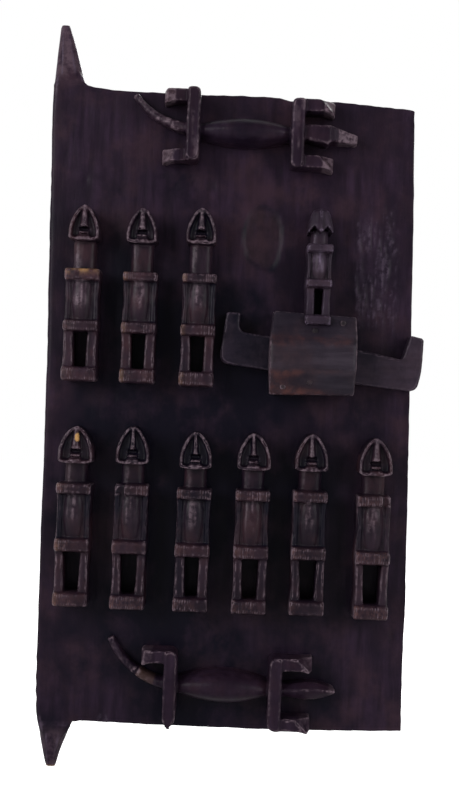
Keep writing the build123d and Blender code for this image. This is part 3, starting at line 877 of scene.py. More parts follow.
@dataclass(frozen=True)
class WoodFinish:
    """Old hardwood, blackened by smoke and rubbed by hands, with painted highlights on its edges and painted
    shade in its hollows.
    """

    name: str
    deep: tuple[int, int, int]
    body: tuple[int, int, int]
    warm: tuple[int, int, int]
    # pale mauve grey of the edges: worn wood, and a painted highlight on them
    worn_and_sheen: tuple[int, int, int] = (106, 90, 99)
    rubbed: tuple[int, int, int] = (92, 64, 62)
    fresh: tuple[int, int, int] = (176, 134, 84)
    soot: tuple[int, int, int] = (10, 7, 20)
    # nearly black, the colour of deep shade: dust in the hollows, and painted shade there
    dust_and_shade: tuple[int, int, int] = (8, 5, 14)
    grain: Grain = Grain.UPRIGHT
    wear_and_sheen_amount: float = 0.8
    rub_fineness: float = 330.0  # how finely the rubbed parts are broken up
    roughness: float = 0.40
    gloss: float = 0.12  # the shader's specular level
    relief: float = 0.5  # millimetres of height in the grain
    end_dullness: float = 0.0  # roughness added where a face cuts straight across an upright grain

    def material(self, groups: dict[str, bpy.types.NodeTree]) -> bpy.types.Material:
        """Build the finish as a material.

        Args:
            groups: The shared node groups, by name.

        Returns:
            The material.
        """
        made = bpy.data.materials.new(self.name)
        nodes = empty_nodes(made)
        coordinates = nodes.add("ShaderNodeTexCoord").outputs
        place = coordinates["Object"]
        marks = nodes.add("ShaderNodeAttribute", attribute_name="marks")
        smoke = nodes.add("ShaderNodeAttribute", attribute_name="soot").outputs["Fac"]
        parts = nodes.add("ShaderNodeSeparateColor", {"Color": marks.outputs["Color"]}).outputs

        def use(group: str, inputs: dict[str, Value]) -> bpy.types.bpy_prop_collection:
            """Outputs of a shared group."""
            return nodes.add("ShaderNodeGroup", inputs, node_tree=groups[group]).outputs

        fibre = use("wood_fibre", {"Place": place, "Stretch": self.grain.value})
        patch = use("patina_patches", {"Place": place})
        worn_and_sheen = use("broken_mark", {"Place": place, "Mark": parts["Red"], "Fineness": 190.0,
                                 "Amount": self.wear_and_sheen_amount})["Share"]
        rubbed = use("broken_mark", {"Place": place, "Mark": parts["Blue"], "Fineness": self.rub_fineness,
                                   "Amount": 1.0})["Share"]
        dust_and_shade = use("settled_dust_and_shade", {"Place": place, "Mark": parts["Green"]})["Share"]

        colour = nodes.blend(nodes.ramp(fibre["Streak"], 0.30, 0.68), linear(*self.deep), linear(*self.body))
        colour = nodes.blend(nodes.maths("MULTIPLY", patch["Warm"], 0.65), colour, linear(*self.warm))
        colour = nodes.blend(nodes.maths("MULTIPLY", patch["Dark"], 0.75), colour, linear(*self.deep))
        clouded = nodes.maths("MULTIPLY", smoke, nodes.maths("ADD", patch["Dark"], 0.75), clamp=True)
        colour = nodes.blend(clouded, colour, linear(*self.soot))
        colour = nodes.blend(rubbed, colour, linear(*self.rubbed))
        # pale edges: worn wood, and a painted highlight along them
        colour = nodes.blend(worn_and_sheen, colour, linear(*self.worn_and_sheen))
        # hollows darkened: dust, and painted shade
        colour = nodes.blend(nodes.maths("MULTIPLY", dust_and_shade, 0.8), colour, linear(*self.dust_and_shade))
        colour = nodes.blend(marks.outputs["Alpha"], colour, linear(*self.fresh))

        rough = nodes.maths("MULTIPLY_ADD", fibre["Pore"], 0.22, self.roughness - 0.11)
        rough = nodes.maths("ADD", rough, nodes.maths("MULTIPLY", dust_and_shade, 0.3), clamp=True)
        if self.end_dullness:
            upright = nodes.add("ShaderNodeSeparateXYZ", {"Vector": coordinates["Normal"]}).outputs["Z"]
            across_grain = nodes.ramp(nodes.maths("ABSOLUTE", upright), 0.6, 0.9)
            dull = nodes.maths("MULTIPLY", across_grain, self.end_dullness)
            rough = nodes.maths("ADD", rough, dull, clamp=True)
        bump = nodes.add("ShaderNodeBump", {"Height": fibre["Height"], "Distance": self.relief * MM,
                                            "Strength": 0.7})
        shader = nodes.add("ShaderNodeBsdfPrincipled", {
            "Base Color": colour, "Roughness": rough, "Normal": bump.outputs["Normal"],
            "Specular IOR Level": self.gloss})
        nodes.add("ShaderNodeOutputMaterial", {"Surface": shader.outputs["BSDF"]})
        return made


FINISHES = {
    "plank_wood": WoodFinish("smoked_plank", (27, 17, 29), (45, 31, 47), (54, 36, 44), worn_and_sheen=(74, 62, 77),
                             rubbed=(88, 71, 80), rub_fineness=90.0, gloss=0.09, end_dullness=0.5),
    "figure_wood": WoodFinish("rubbed_figures", (27, 17, 26), (46, 32, 43), (62, 38, 42), wear_and_sheen_amount=0.85),
    "lizard_wood": WoodFinish("rubbed_lizards", (27, 17, 28), (43, 31, 45), (49, 32, 41), gloss=0.07),
    "keeper_wood": WoodFinish("lock_keeper", (35, 26, 37), (56, 45, 58), (60, 44, 53), worn_and_sheen=(106, 93, 112)),
    "lock_wood": WoodFinish("lock_case", (31, 25, 34), (51, 44, 53), (54, 38, 42), grain=Grain.ACROSS,
                            rubbed=(78, 46, 43), rub_fineness=48.0),
    "bolt_wood": WoodFinish("sliding_bolt", (31, 24, 34), (48, 39, 51), (50, 38, 46), worn_and_sheen=(88, 74, 86),
                            rubbed=(70, 57, 70), grain=Grain.ACROSS, wear_and_sheen_amount=0.45, rub_fineness=120.0),
    "tumbler_wood": WoodFinish("dry_tumblers", (58, 44, 36), (92, 70, 52), (110, 82, 58), roughness=0.6),
    "peg_wood": WoodFinish("peg_ends", (34, 28, 32), (48, 40, 47), (56, 44, 47), grain=Grain.ACROSS),
}


# ---------------------------------------------------------------------------
# Plank with its two pivots
# ---------------------------------------------------------------------------
@dataclass
class Plank:
    """The door leaf: a hewn board whose hinge side runs on above and below as pivots."""

    width: float = 367.0
    height: float = 632.0
    thickness: float = 24.0
    hinge_offset: float = 13.6  # the hinge edge lies this far left of the pivot axis
    cell: float = 2.7
    fine_cell: float = 1.7
    border: tuple[float, ...] = (0, 0.5, 1.2, 2.4, 4.2)  # close rows and columns beside an edge
    rough_from: float = 292.0  # the torn grain beside the lock's figure, along x
    rough_to: float = 346.0
    pivot_edge: float = 22.0  # where the pivots meet the plank's ends
    hinge_round: float = 5.0
    arris_round: float = 1.6
    layers: int = 9

    def left(self, z: Array) -> Array:
        """Hinge edge at a height."""
        return np.interp(z, (46, 60, 113, 160, 190, 250, 300, 400, 500, 650, 668, 684),
                         (-14.2, -16.1, -16.0, -15.4, -15.1, -14.3, -13.3, -12.1, -11.9, -11.7, -11.4, -10.6))

    def right(self, z: Array) -> Array:
        """Free edge at a height."""
        return np.interp(z, (44, 95, 180, 300, 420, 520, 640, 667),
                         (351.4, 351.6, 353, 353.2, 353.3, 353.3, 352.6, 352.2))

    def bottom(self, x: Array) -> Array:
        """Lower edge at a place."""
        return np.interp(x, (-16, 22, 50, 98, 138, 210, 266, 298, 352),
                         (47.6, 48, 47.5, 45.6, 44.8, 43.4, 43.1, 43.7, 44.5))

    def top(self, x: Array) -> Array:
        """Upper edge at a place, with the step where a splinter has gone."""
        return np.interp(x, (-12, 22, 50, 74, 138, 202, 217, 227, 274, 290, 346, 353),
                         (684.5, 684, 680.6, 679.4, 677.6, 677, 675.8, 673.1, 673.4, 671.9, 667, 665.6))

    def columns(self) -> Array:
        """Places of the columns along x, closer at the borders and in the torn grain.

        Returns:
            Lengths from the hinge edge.
        """
        pivot, start, end = (x + self.hinge_offset for x in (self.pivot_edge, self.rough_from, self.rough_to))
        border = np.array(self.border)
        return np.concatenate([
            border, np.arange(6.5, pivot - 1, self.cell), [pivot],
            np.arange(pivot + self.cell, start, self.cell), np.arange(start, end, self.fine_cell),
            np.arange(end + 1, self.width - 4.8, self.cell), (self.width - border)[::-1]])

    def rows(self) -> Array:
        """Places of the rows, closer at the borders.

        Returns:
            Lengths from the lower edge.
        """
        border = np.array(self.border)
        inner = np.arange(6.6, self.height - 5, self.cell)
        return np.concatenate([border, inner, (self.height - border)[::-1]])

    def build(self) -> Shell:
        """Lay the lattice out and run the pivots on from it.

        A surface point of the lattice lies between the two edges in x by its column's share and
        between the two ends in z by its row's share. The ends leave out the cells between the hinge
        edge and the pivot's side, and rings run on from the loop round them.

        Returns:
            The shell, facing outwards.
        """
        along, up = self.columns(), self.rows()
        share_x, share_z = along / along[-1], up / up[-1]
        share_y = np.concatenate([[0, 0.05, 0.12], np.linspace(0.25, 0.75, self.layers - 5), [0.88, 0.95, 1]])
        nx, ny, nz = len(share_x) - 1, len(share_y) - 1, len(share_z) - 1
        i, j, k = np.meshgrid(np.arange(nx + 1), np.arange(ny + 1), np.arange(nz + 1), indexing="ij")
        shown = (i == 0) | (i == nx) | (j == 0) | (j == ny) | (k == 0) | (k == nz)
        cut = int(np.argmin(np.abs(along - self.pivot_edge - self.hinge_offset)))
        inside_hole = (i > 0) & (i < cut) & (j > 0) & (j < ny) & ((k == 0) | (k == nz))
        shown &= ~inside_hole
        index = np.full(shown.shape, -1)
        index[shown] = np.arange(int(shown.sum()))
        points = self.lattice_points(share_x[i[shown]], share_y[j[shown]], share_z[k[shown]])

        def sheet(grid: Whole) -> Whole:
            """Faces of one side from its grid of point numbers."""
            return np.stack([grid[:-1, :-1], grid[1:, :-1], grid[1:, 1:], grid[:-1, 1:]], -1).reshape(-1, 4)

        sides = [sheet(index[:, 0, :]), sheet(index[:, ny, :])[:, ::-1],
                 sheet(index[0, :, :])[:, ::-1], sheet(index[nx, :, :]),
                 sheet(index[cut:, :, 0])[:, ::-1], sheet(index[cut:, :, nz])]
        quads = np.vstack(sides)
        loop_ij = ([(a, 0) for a in range(cut)] + [(cut, b) for b in range(ny)]
                   + [(a, ny) for a in range(cut, 0, -1)] + [(0, b) for b in range(ny, 0, -1)])
        loop = np.array(loop_ij)
        total, ends, extra = len(points), [], []
        for lower in (True, False):
            border = index[loop[:, 0], loop[:, 1], 0 if lower else nz]
            rings = self.pivot_rings(points[border], lower)
            added = total + np.arange(rings.shape[0] * len(loop)).reshape(-1, len(loop))
            faces = ring_faces(np.vstack([border, added]))
            quads = np.vstack([quads, faces[:, ::-1] if lower else faces])
            tip = added[-1].tolist()
            ends.append(tip[::-1] if lower else tip)
            extra.append(rings.reshape(-1, 3))
            total += added.size
        return Shell(np.vstack([points, *extra]), quads, ends)

    def lattice_points(self, share_x: Array, share_y: Array, share_z: Array) -> Array:
        """Places of the lattice's surface points, with the arrises rounded.

        A point within a radius r of a side is pulled to the ball of radius r that rolls inside the
        board: its inner point q is held r away from each side, and it goes to q + r (p - q) / |p - q|.

        Args:
            share_x: Share of the way from the hinge edge to the free edge.
            share_y: Share from the carved face to the back.
            share_z: Share from the lower to the upper edge.

        Returns:
            Shape (n, 3).
        """
        level = 46 + share_z * 630  # a row's height before the edges' slopes
        left, right = self.left(level), self.right(level)
        x = left + share_x * (right - left)
        low, high = self.bottom(x), self.top(x)
        z = low + share_z * (high - low)
        half = self.thickness / 2
        y = -half + share_y * self.thickness
        radius = self.arris_round + (self.hinge_round - self.arris_round) * fade(0, 14, x - left)
        ends = smoothstep(self.pivot_edge, self.pivot_edge + 8, x)
        pull = np.column_stack([
            np.maximum(radius - (right - x), 0) - np.maximum(radius - (x - left), 0),
            np.maximum(radius - (half - y), 0) - np.maximum(radius - (y + half), 0),
            ends * (np.maximum(radius - (high - z), 0) - np.maximum(radius - (z - low), 0)),
        ])
        place = np.column_stack([x, y, z])
        length = np.linalg.norm(pull, axis=1)
        near = length > 1e-6
        ball = place - pull + radius[:, None] * pull / np.maximum(length, 1e-6)[:, None]
        return np.where(near[:, None], ball, place)

    def pivot_rings(self, border: Array, lower: bool) -> Array:
        """Rings of one pivot, from the plank's end to its blunt tip.

        Ring by ring the border's rectangle shrinks to the pivot's width and thickness at that height,
        and its corners are cut back to eight sides: a corner (u, v) on the unit square is scaled so
        that |u| + |v| is at most 1.5.

        Args:
            border: The loop round the cells left out.
            lower: True for the lower pivot.

        Returns:
            Shape (rings, points, 3).
        """
        if lower:
            heights = np.concatenate([np.linspace(43, 4, 22), [2.4, 1.1, 0.35, 0.0]])
            left = np.interp(heights, (0, 3, 13, 23, 43), (-4.4, -5.4, -7.5, -9.4, -12.9))
            right = np.interp(heights, (0, 3, 13, 23, 33, 43), (4.6, 5.6, 8.2, 12.1, 16.1, 20.4))
            depth = np.interp(heights, (0, 2, 22, 44), (3.9, 5.0, 8.4, 11.8))
        else:
            heights = np.concatenate([np.linspace(687, 741, 30), [743.2, 744.9, 745.7, 746.0]])
            left = np.interp(heights, (684, 693, 723, 743, 746), (-10.5, -9.6, -7.0, -5.3, -4.2))
            right = np.interp(heights, (684, 693, 713, 733, 743, 746), (21.7, 19.5, 14.0, 8.2, 5.0, 3.6))
            depth = np.interp(heights, (684, 715, 743, 746), (11.8, 8.3, 5.0, 3.8))
        low, high = border.min(axis=0), border.max(axis=0)
        middle, half = (low + high) / 2, (high - low) / 2
        u = np.clip((border[:, 0] - middle[0]) / half[0], -1, 1)
        v = np.clip(border[:, 1] / half[1], -1, 1)
        reach = np.maximum(np.abs(u) + np.abs(v), 1e-6)
        eight = np.minimum(1.0, 1.5 / reach)
        share = smoothstep(0, 16, np.abs(heights - heights[0]))[:, None]
        scale = 1 + share * (eight - 1)
        x = (left + right)[:, None] / 2 + (right - left)[:, None] / 2 * u * scale
        y = depth[:, None] * v * scale
        slope = np.zeros_like(x) + heights[:, None]
        return np.stack([x, y, slope], axis=-1)

    def face_height(self, x: Array, z: Array, front: Array) -> Array:
        """How far the hewn faces stand out, in millimetres.

        The sum of slow waves, long adze cuts, an oval scar, torn grain beside the lock's figure, a
        split at the lower edge and a few nicks.

        Args:
            x: Places across.
            z: Heights.
            front: 1 on the carved face and 0 on the back.

        Returns:
            One height a point, mostly below zero.
        """
        flat = np.column_stack([x, 40 * front, z])
        waves = 0.45 * smooth_noise(flat, (80, 40, 150), 3) + 0.16 * smooth_noise(flat, (13, 40, 60), 5)
        hewn = (0.55 + 0.5 * (1 - front)) * (scoops(flat, (17, 40, 52), 7) - 0.9)
        height = waves + hewn - 0.35
        scar = -2.0 * fade(0.90, 1.01, self.scar_ring(x, z)) - 0.7 * self.scratches(x, z)
        torn = 1.5 * self.torn_grain(x, z) - 0.5 * self.torn_place(x, z)
        split = -2.6 * np.exp(-((x - 52 - 0.12 * (z - 47)) / 1.5) ** 2) * fade(49, 66, z)
        nick = sum(-1.1 * blot(x, z, place, (2.2, 4.0))
                   for place in ((340, 140), (57, 372), (216, 602), (24, 590), (318, 250)))
        return height + front * (scar + torn + split + nick)

    def scar_ring(self, x: Array, z: Array) -> Array:
        """How far out a place lies from the oval scar's middle, 1 on its edge."""
        return np.hypot((x - 203) / 20.0, (z - 535.5) / 34) + 0.10 * face_noise(x, z, (14, 22), 19)

    def torn_place(self, x: Array, z: Array) -> Array:
        """Where the grain was torn beside the lock's figure, from 0 to 1."""
        return band((290, 302), (330, 347), x) * smoothstep(428, 470, z) * fade(540, 585, z)

    def torn_grain(self, x: Array, z: Array) -> Array:
        """Torn fibres that fan out upwards: the ridges of a noise drawn out along the fan's rays.

        Args:
            x: Places across.
            z: Heights.

        Returns:
            How proud the fibres stand, about 0 to 1.
        """
        fan = (x - 318) / (0.5 + 0.5 * np.clip((z - 430) / 140, 0, 2))
        coarse = 1 - np.abs(face_noise(fan, z, (5.2, 46), 17))
        fine = 1 - np.abs(face_noise(fan, z, (2.9, 30), 18))
        return self.torn_place(x, z) * (0.6 * coarse**8 + 0.6 * fine**5)

    def scratches(self, x: Array, z: Array) -> Array:
        """Three bands of short upright scratches, from 0 to 1: the crests of a noise drawn out upwards."""
        bands = sum(amount * smoothstep(left - 4, left + 4, x) * fade(right - 4, right + 4, x)
                    * smoothstep(low - 3, low + 3, z) * fade(high - 3, high + 3, z)
                    for left, right, low, high, amount in (
                        (96, 162, 581, 597, 1.0), (137, 193, 128, 143, 0.8), (183, 208, 596, 609, 0.6)))
        return bands * smoothstep(0.05, 0.6, face_noise(x, z, (3.2, 7), 37))

    def soot(self, x: Array, z: Array) -> Array:
        """How sooty the plank is: most in its middle and low parts, least at its free edge and top.

        Args:
            x: Places across.
            z: Heights.

        Returns:
            One value a point, from 0 to 1.
        """
        broad = 0.76 * np.exp(-((x - 140) / 165) ** 2) * (1 - 0.75 * smoothstep(400, 620, z))
        smudge = 0.30 * blot(x, z, (150, 598), (45, 14))
        rim = 0.74 * np.exp(-((self.scar_ring(x, z) - 0.97) / 0.09) ** 2)
        rim = rim * smoothstep(-0.8, 0.2, face_noise(x, z, (12, 16), 43))
        slow = 0.20 * face_noise(x, z, (30, 42), 41) + 0.14 * face_noise(x, z, (11, 17), 45)
        return np.clip(broad + smudge + rim + slow + 0.3 * self.scratches(x, z), 0, 1)

    def dress(self) -> bpy.types.Object:
        """Build the plank, dent it, and mark its worn edges with their painted highlight, its hollows with
        their dust and painted shade, and its sooty and fresh places.

        Returns:
            The piece.
        """
        skin = Skin(mesh_of([self.build()]))
        x, y, z = skin.points.T
        normal = skin.normals()
        body = band((44, 62), (660, 690), z)
        flat = np.abs(normal[:, 1]) ** 3
        front = (y < 0).astype(float)
        wide = smoothstep(self.pivot_edge, self.pivot_edge + 12, x)
        move = self.face_height(x, z, front) * flat * np.maximum(wide, body)
        side = smooth_noise(skin.points, (9, 14, 34), 23) * 0.5
        side += smooth_noise(skin.points, (4, 9, 7), 29) * 0.35
        ragged = 1 + 2.2 * smoothstep(52, 60, z) * fade(100, 118, z) * (x < 0)
        move += (1 - np.abs(normal[:, 1])) * (ragged * side - 0.45)
        skin.points += normal * move[:, None]
        x, _, z = skin.points.T
        hollow = edge_marks(skin).hollow
        on_face = flat * body * front
        hairs = 0.60 * self.torn_grain(x, z) + 0.16 * self.torn_place(x, z)
        worn_and_sheen = smoothstep(0.02, 0.16, skin.bend(1)) * (1 - 0.85 * on_face) + on_face * hairs
        spike = np.clip(0.40 * fade(30, 52, z) + 0.58 * smoothstep(676, 704, z), 0, 1)
        ragged_edge = band((52, 62), (100, 116), z) * fade(-15.2, -13.4, x)
        scar = 0.009 * on_face * fade(0.70, 0.97, self.scar_ring(x, z))
        fresh = 0.5 * ragged_edge * smoothstep(0.1, 0.7, smooth_noise(skin.points, (4, 5, 6), 31))
        fresh = np.clip(fresh + 0.55 * fade(0.2, 2.2, z) + scar, 0, 1)
        finished = Marks(np.clip(worn_and_sheen, 0, 1), hollow, spike, fresh, self.soot(x, z) * (1 - spike))
        return piece_from(skin, None, finished, "granary_plank")


# ---------------------------------------------------------------------------
# Ancestor figures
# ---------------------------------------------------------------------------
@dataclass
class Ancestor:
    """One standing figure: foot, legs, hips, arms and chest, shoulders, neck, and a hooded face."""

    node: str
    piece: str
    seed: int
    width: float = 34.0
    relief: float = 36.0
    lean: float = 1.0
    voxel: float = 0.9
    shares: tuple[float, ...] = (0.084, 0.281, 0.348, 0.578, 0.634, 0.796)  # tops of the parts below the head
    head_half: float = 14.6
    nose_half: float = 3.4  # at the nose's foot
    nose_lean: float = 0.0  # how far its upper end lies to the right
    leg_gap: float = 7.2  # half the gap between the legs, at their top
    shoulder_span: tuple[float, float] = (-0.5, 0.5)  # shorter where an end has broken off
    shoulder_rub: float = 0.5
    bar_rub: float = 0.55
    # painted highlight on the chest and the throat, left of their middles
    chest_highlight: float = 0.9
    # painted shade in the face's sunk parts, and a painted highlight on the nose ridge
    face_shade: float = 1.0  # how dark the sunk parts of the face are
    orange_ends: float = 0.0  # painted highlight in the fresh wood's colour at the bars' left ends
    hatch: float = 0.4  # depth of the strokes cut across the bars' fronts
    nose_chip: float = 0.0
    gold: float = 0.0  # yellow wood laid bare on the shoulders
    soot: float = 0.3
    foot_base: float = -SINK  # back of the foot

    def seat(self) -> tuple[Seat, float]:
        """Read where the figure stands from its node's box.

        Returns:
            Its seat and its height.
        """
        low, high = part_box(self.node)
        turn = math.radians(self.lean)
        x = low.x / MM + self.width / 2 * math.cos(turn)
        z = low.z / MM + self.width / 2 * math.sin(turn)
        return Seat(x, z, self.lean), (high.z / MM - z) / math.cos(turn)

    def head(self, bottom: float, top: float) -> list[Shell]:
        """Head under a pointed arch, with a rim, sunk cheeks, a wedge nose, a mouth and a chin.

        With t a place's share of the half width, the crown lies (1 - t^1.75)^0.66 of the way up from
        the temples. The front's height is the rim's near the outline and the cheeks' inside it. The
        nose, the mouth and the chin are blended into it by smooth steps across their edges.

        Args:
            bottom: Level of the jaw.
            top: Level of the crown.

        Returns:
            The head's one slab.
        """
        half, tall, relief = self.head_half, top - bottom, self.relief
        places = half * np.sin(np.linspace(-math.pi / 2, math.pi / 2, 61))
        reach = np.abs(places) / half
        low = bottom + 2.6 * reach**5
        high = bottom + tall * (0.28 + 0.72 * np.maximum(1 - reach**1.75, 0) ** 0.66)
        wall = np.linspace(low[0], high[0], 12)
        sides = [np.column_stack([np.full(12, edge), wall]) for edge in (half, -half)]
        outline = np.vstack([np.column_stack([places, low]), np.column_stack([places, high]), *sides])

        def front(across: Array, up: Array) -> Array:
            """Height of the face.

            Args:
                across: Places across.
                up: Levels.

            Returns:
                Heights of the same shape.
            """
            share = (up - bottom) / tall
            gap = np.hypot(across[..., None] - outline[:, 0], up[..., None] - outline[:, 1]).min(axis=-1)
            side = np.abs(across - self.nose_lean * share)
            rim = relief * (0.95 - 0.15 * share) - 1.4 * (1 - np.clip(gap / 1.6, 0, 1)) ** 2
            cheek = relief * (0.74 - 0.06 * share)
            height = rim + (cheek - rim) * smoothstep(2.3, 4.2, gap)
            wide = self.nose_half * (1.4 - share)
            on_nose = fade(-0.3, 1.0, side - wide) * smoothstep(0.36, 0.40, share)
            nose = relief * (0.99 - 0.18 * share) - 0.9 * (side / wide) ** 2
            height = height + np.maximum(nose - height, 0) * on_nose
            under = fade(3.6, 5.2, side) * smoothstep(0.25, 0.28, share) * fade(0.36, 0.39, share)
            height = height - 0.10 * relief * under
            for foot, lip, half_lip in ((0.185, 0.24, 4.7), (0.05, 0.125, 6.0)):
                ledge = fade(-0.5, 0.7, side - half_lip) * smoothstep(foot - 0.02, foot + 0.005, share)
                ledge = ledge * fade(lip - 0.005, lip + 0.02, share)
                height = height + np.maximum(0.925 * relief - height, 0) * ledge
            return height

        return [slab(places, low, high, front)]

    def shells(self, height: float) -> list[Shell]:
        """Every block of the figure, standing on its seat.

        Args:
            height: The figure's height.

        Returns:
            Shells that overlap.
        """
        half, relief = self.width / 2, self.relief
        foot, legs, hips, torso, shoulders, neck = (share * height for share in self.shares)
        bar = Grip(1.5, 5.0)

        def bow(share: Array) -> Array:
            """Front of a bar, a little lower towards its ends."""
            return relief - 1.2 * (2 * share - 1) ** 4

        def slim(share: Array) -> Array:
            """How far a leg or an arm draws in at half height."""
            return 0.6 * np.sin(math.pi * share)

        def inner(share: Array) -> Array:
            """Half the gap between the legs, less at their foot."""
            return self.leg_gap * (0.82 + 0.18 * share)

        def chest_half(share: Array) -> Array:
            """Half width of the chest, widest in its upper third."""
            return self.width * (0.24 + 0.065 * np.sin(math.pi * np.clip(share, 0, 1) ** 1.35) ** 0.8)

        def chest_front(share: Array) -> Array:
            """Front of the chest: an egg whose crown lies above its middle."""
            crown = np.sin(math.pi * np.clip(0.08 + 0.86 * share, 0, 1) ** 1.2) ** 0.8
            return relief * (0.725 + 0.105 * crown)

        made = [
            beam((-half, half), 0.0, foot, bow, self.foot_base, bar),
            beam((-half, half), legs, hips, bow, grip=bar),
            beam((self.shoulder_span[0] * self.width, self.shoulder_span[1] * self.width),
                 torso, shoulders, bow, grip=bar),
            beam((-half + 0.4, half - 0.4), torso, shoulders - 0.6, 0.70 * relief),
            post((foot - 2, legs + 2), lambda s: -half + 0.4 + slim(s), lambda s: -inner(s), 0.82 * relief),
            post((foot - 2, legs + 2), inner, lambda s: half - 0.4 - slim(s), 0.82 * relief),
            post((hips - 2, torso + 2), -half + 1, half - 1, 0.69 * relief),
            post((hips - 2, torso + 2), lambda s: -half + 0.2 + slim(s), -0.33 * self.width, 0.745 * relief),
            post((hips - 2, torso + 2), 0.33 * self.width, lambda s: half - 0.2 - slim(s), 0.745 * relief),
            post((hips - 3, torso + 3), lambda s: -chest_half(s), chest_half, chest_front,
                 0.35 * relief, Grip(1.0, 2.5)),
            post((shoulders - 2, neck + 3), -0.33 * self.width, 0.33 * self.width, 0.53 * relief,
                 grip=Grip(1.0, 3.4)),
        ]
        return made + self.head(neck, height)

    def dress(self) -> bpy.types.Object:
        """Join, dent and mark the figure.

        Returns:
            The piece.
        """
        seat, height = self.seat()
        skin = skin_from(self.shells(height), self.voxel)
        skin.smooth(2)
        skin.dent(Wear(sway=0.35, chip=0.6, seed=self.seed))
        return piece_from(skin, seat, self.marks(skin, height), self.piece)

    def marks(self, skin: Skin, height: float) -> Marks:
        """Cut the strokes across the bars, mark what hands have rubbed, and paint highlights and shade.

        The bars' fronts are rubbed in upright strokes, most at their left ends, where a painted highlight also
        falls. The chest and the neck get a painted highlight in longer streaks, which lie left of their
        middles.

        Args:
            skin: The figure's skin, whose bars are cut.
            height: The figure's height.

        Returns:
            The marks.
        """
        across, up, out = skin.points.T
        foot, legs, hips, torso, shoulders, neck = (share * height for share in self.shares)
        side = across / self.width
        proud = smoothstep(0.80, 0.93, out / self.relief)
        waver = 2 * smooth_noise(skin.points, (6, 9, 9), self.seed + 81)
        stroke = 0.5 + 0.5 * np.sin(across * 2 * math.pi / 2.3 + waver)
        patchy = smoothstep(-0.5, 0.4, smooth_noise(skin.points, (9, 20, 20), self.seed + 83))
        skin.points[:, 2] -= self.hatch * proud * (up < shoulders) * stroke * patchy
        on_bars = sum(band((low - 1.5, low + 0.5), (high - 0.5, high + 1.5), up) * amount
                      for low, high, amount in ((-3, foot, self.bar_rub), (legs, hips, self.bar_rub),
                                                (torso, shoulders, self.shoulder_rub)))
        # the bars' left ends are rubbed more and carry a painted highlight, as they face the lamp
        left = fade(-0.47, -0.30, side)
        bars = proud * on_bars * (0.30 + 0.55 * stroke * patchy + 0.55 * left)
        streak = 0.35 + 0.65 * smoothstep(-0.3, 0.6, smooth_noise(skin.points, (2.0, 13, 30), self.seed + 91))
        # painted highlight: streaks on the chest's dome and on the throat, left of their middles, where the
        # lamp catches them
        chest = np.exp(-((side + 0.05) / 0.19) ** 2) * smoothstep(hips + 4, torso - 16, up) * (up < torso + 1)
        throat = 0.7 * np.exp(-((side + 0.17) / 0.10) ** 2) * (up > shoulders) * (up < neck)
        pale = self.chest_highlight * (chest + throat) * streak * smoothstep(0.4, 0.5, out / self.relief)
        chip = self.nose_chip * blot(across, up, (1.6, 0.938 * height), (2.9, 4.6))
        chip = smoothstep(0.35, 0.6, chip * smoothstep(0.72, 0.78, out / self.relief))
        mottle = smoothstep(-0.7, 0.5, smooth_noise(skin.points, (4.5, 3.5, 9), self.seed + 95))
        gold = self.gold * smoothstep(torso + 4, shoulders - 1, up) * fade(shoulders + 1, shoulders + 3, up)
        gold = gold * proud * mottle * (0.25 + 0.75 * np.exp(-((side + 0.10) / 0.22) ** 2))
        ends = 0.13 * self.orange_ends * proud * np.minimum(on_bars * 2, 1) * left * mottle
        panel = (up > hips) * (up < torso)
        # painted shade in the grooves beside the chest, reaching over the arms, which also dims their pale
        # edges
        beside = smoothstep(0.27, 0.34, np.abs(side)) * panel * fade(0.46, 0.485, np.abs(side))
        level = np.clip((up - neck) / (height - neck), 0, 1)
        in_rim = (up > neck) * (np.abs(across) < self.head_half - 2.2)
        # painted shade in the sunk cheeks inside the rim, laid on as soot and as dust
        sunk = self.face_shade * in_rim * fade(0.03, 0.12, out / self.relief - 0.74 + 0.06 * level)
        on_nose = (level > 0.4) * (np.abs(across - self.nose_lean * level) < 0.65 * self.nose_half)
        # painted highlight along the nose ridge
        ridge = 0.16 * self.face_shade * on_nose * (1 - sunk)
        marks = edge_marks(skin, np.clip(bars, 0, 1), np.clip(chip + gold + ends, 0, 1),
                           self.soot + 0.36 * beside + 0.5 * sunk)
        # painted highlight line down the figure's left outer edge, below the head
        line = 0.5 * smoothstep(0.455, 0.485, -side) * (up < neck) * smoothstep(0.3, 0.6, out / self.relief)
        edge = marks.worn_and_sheen * (1 - 0.75 * beside)
        # darker troughs between the strokes on the bars: dust, and painted shade in them
        troughs = 0.55 * proud * np.minimum(on_bars * 2, 1) * (1 - stroke) * patchy * (1 - 0.7 * left)
        return replace(marks, worn_and_sheen=np.clip(edge + line + pale + ridge, 0, 1),
                       hollow=np.clip(marks.hollow + troughs + 0.5 * sunk, 0, 1))


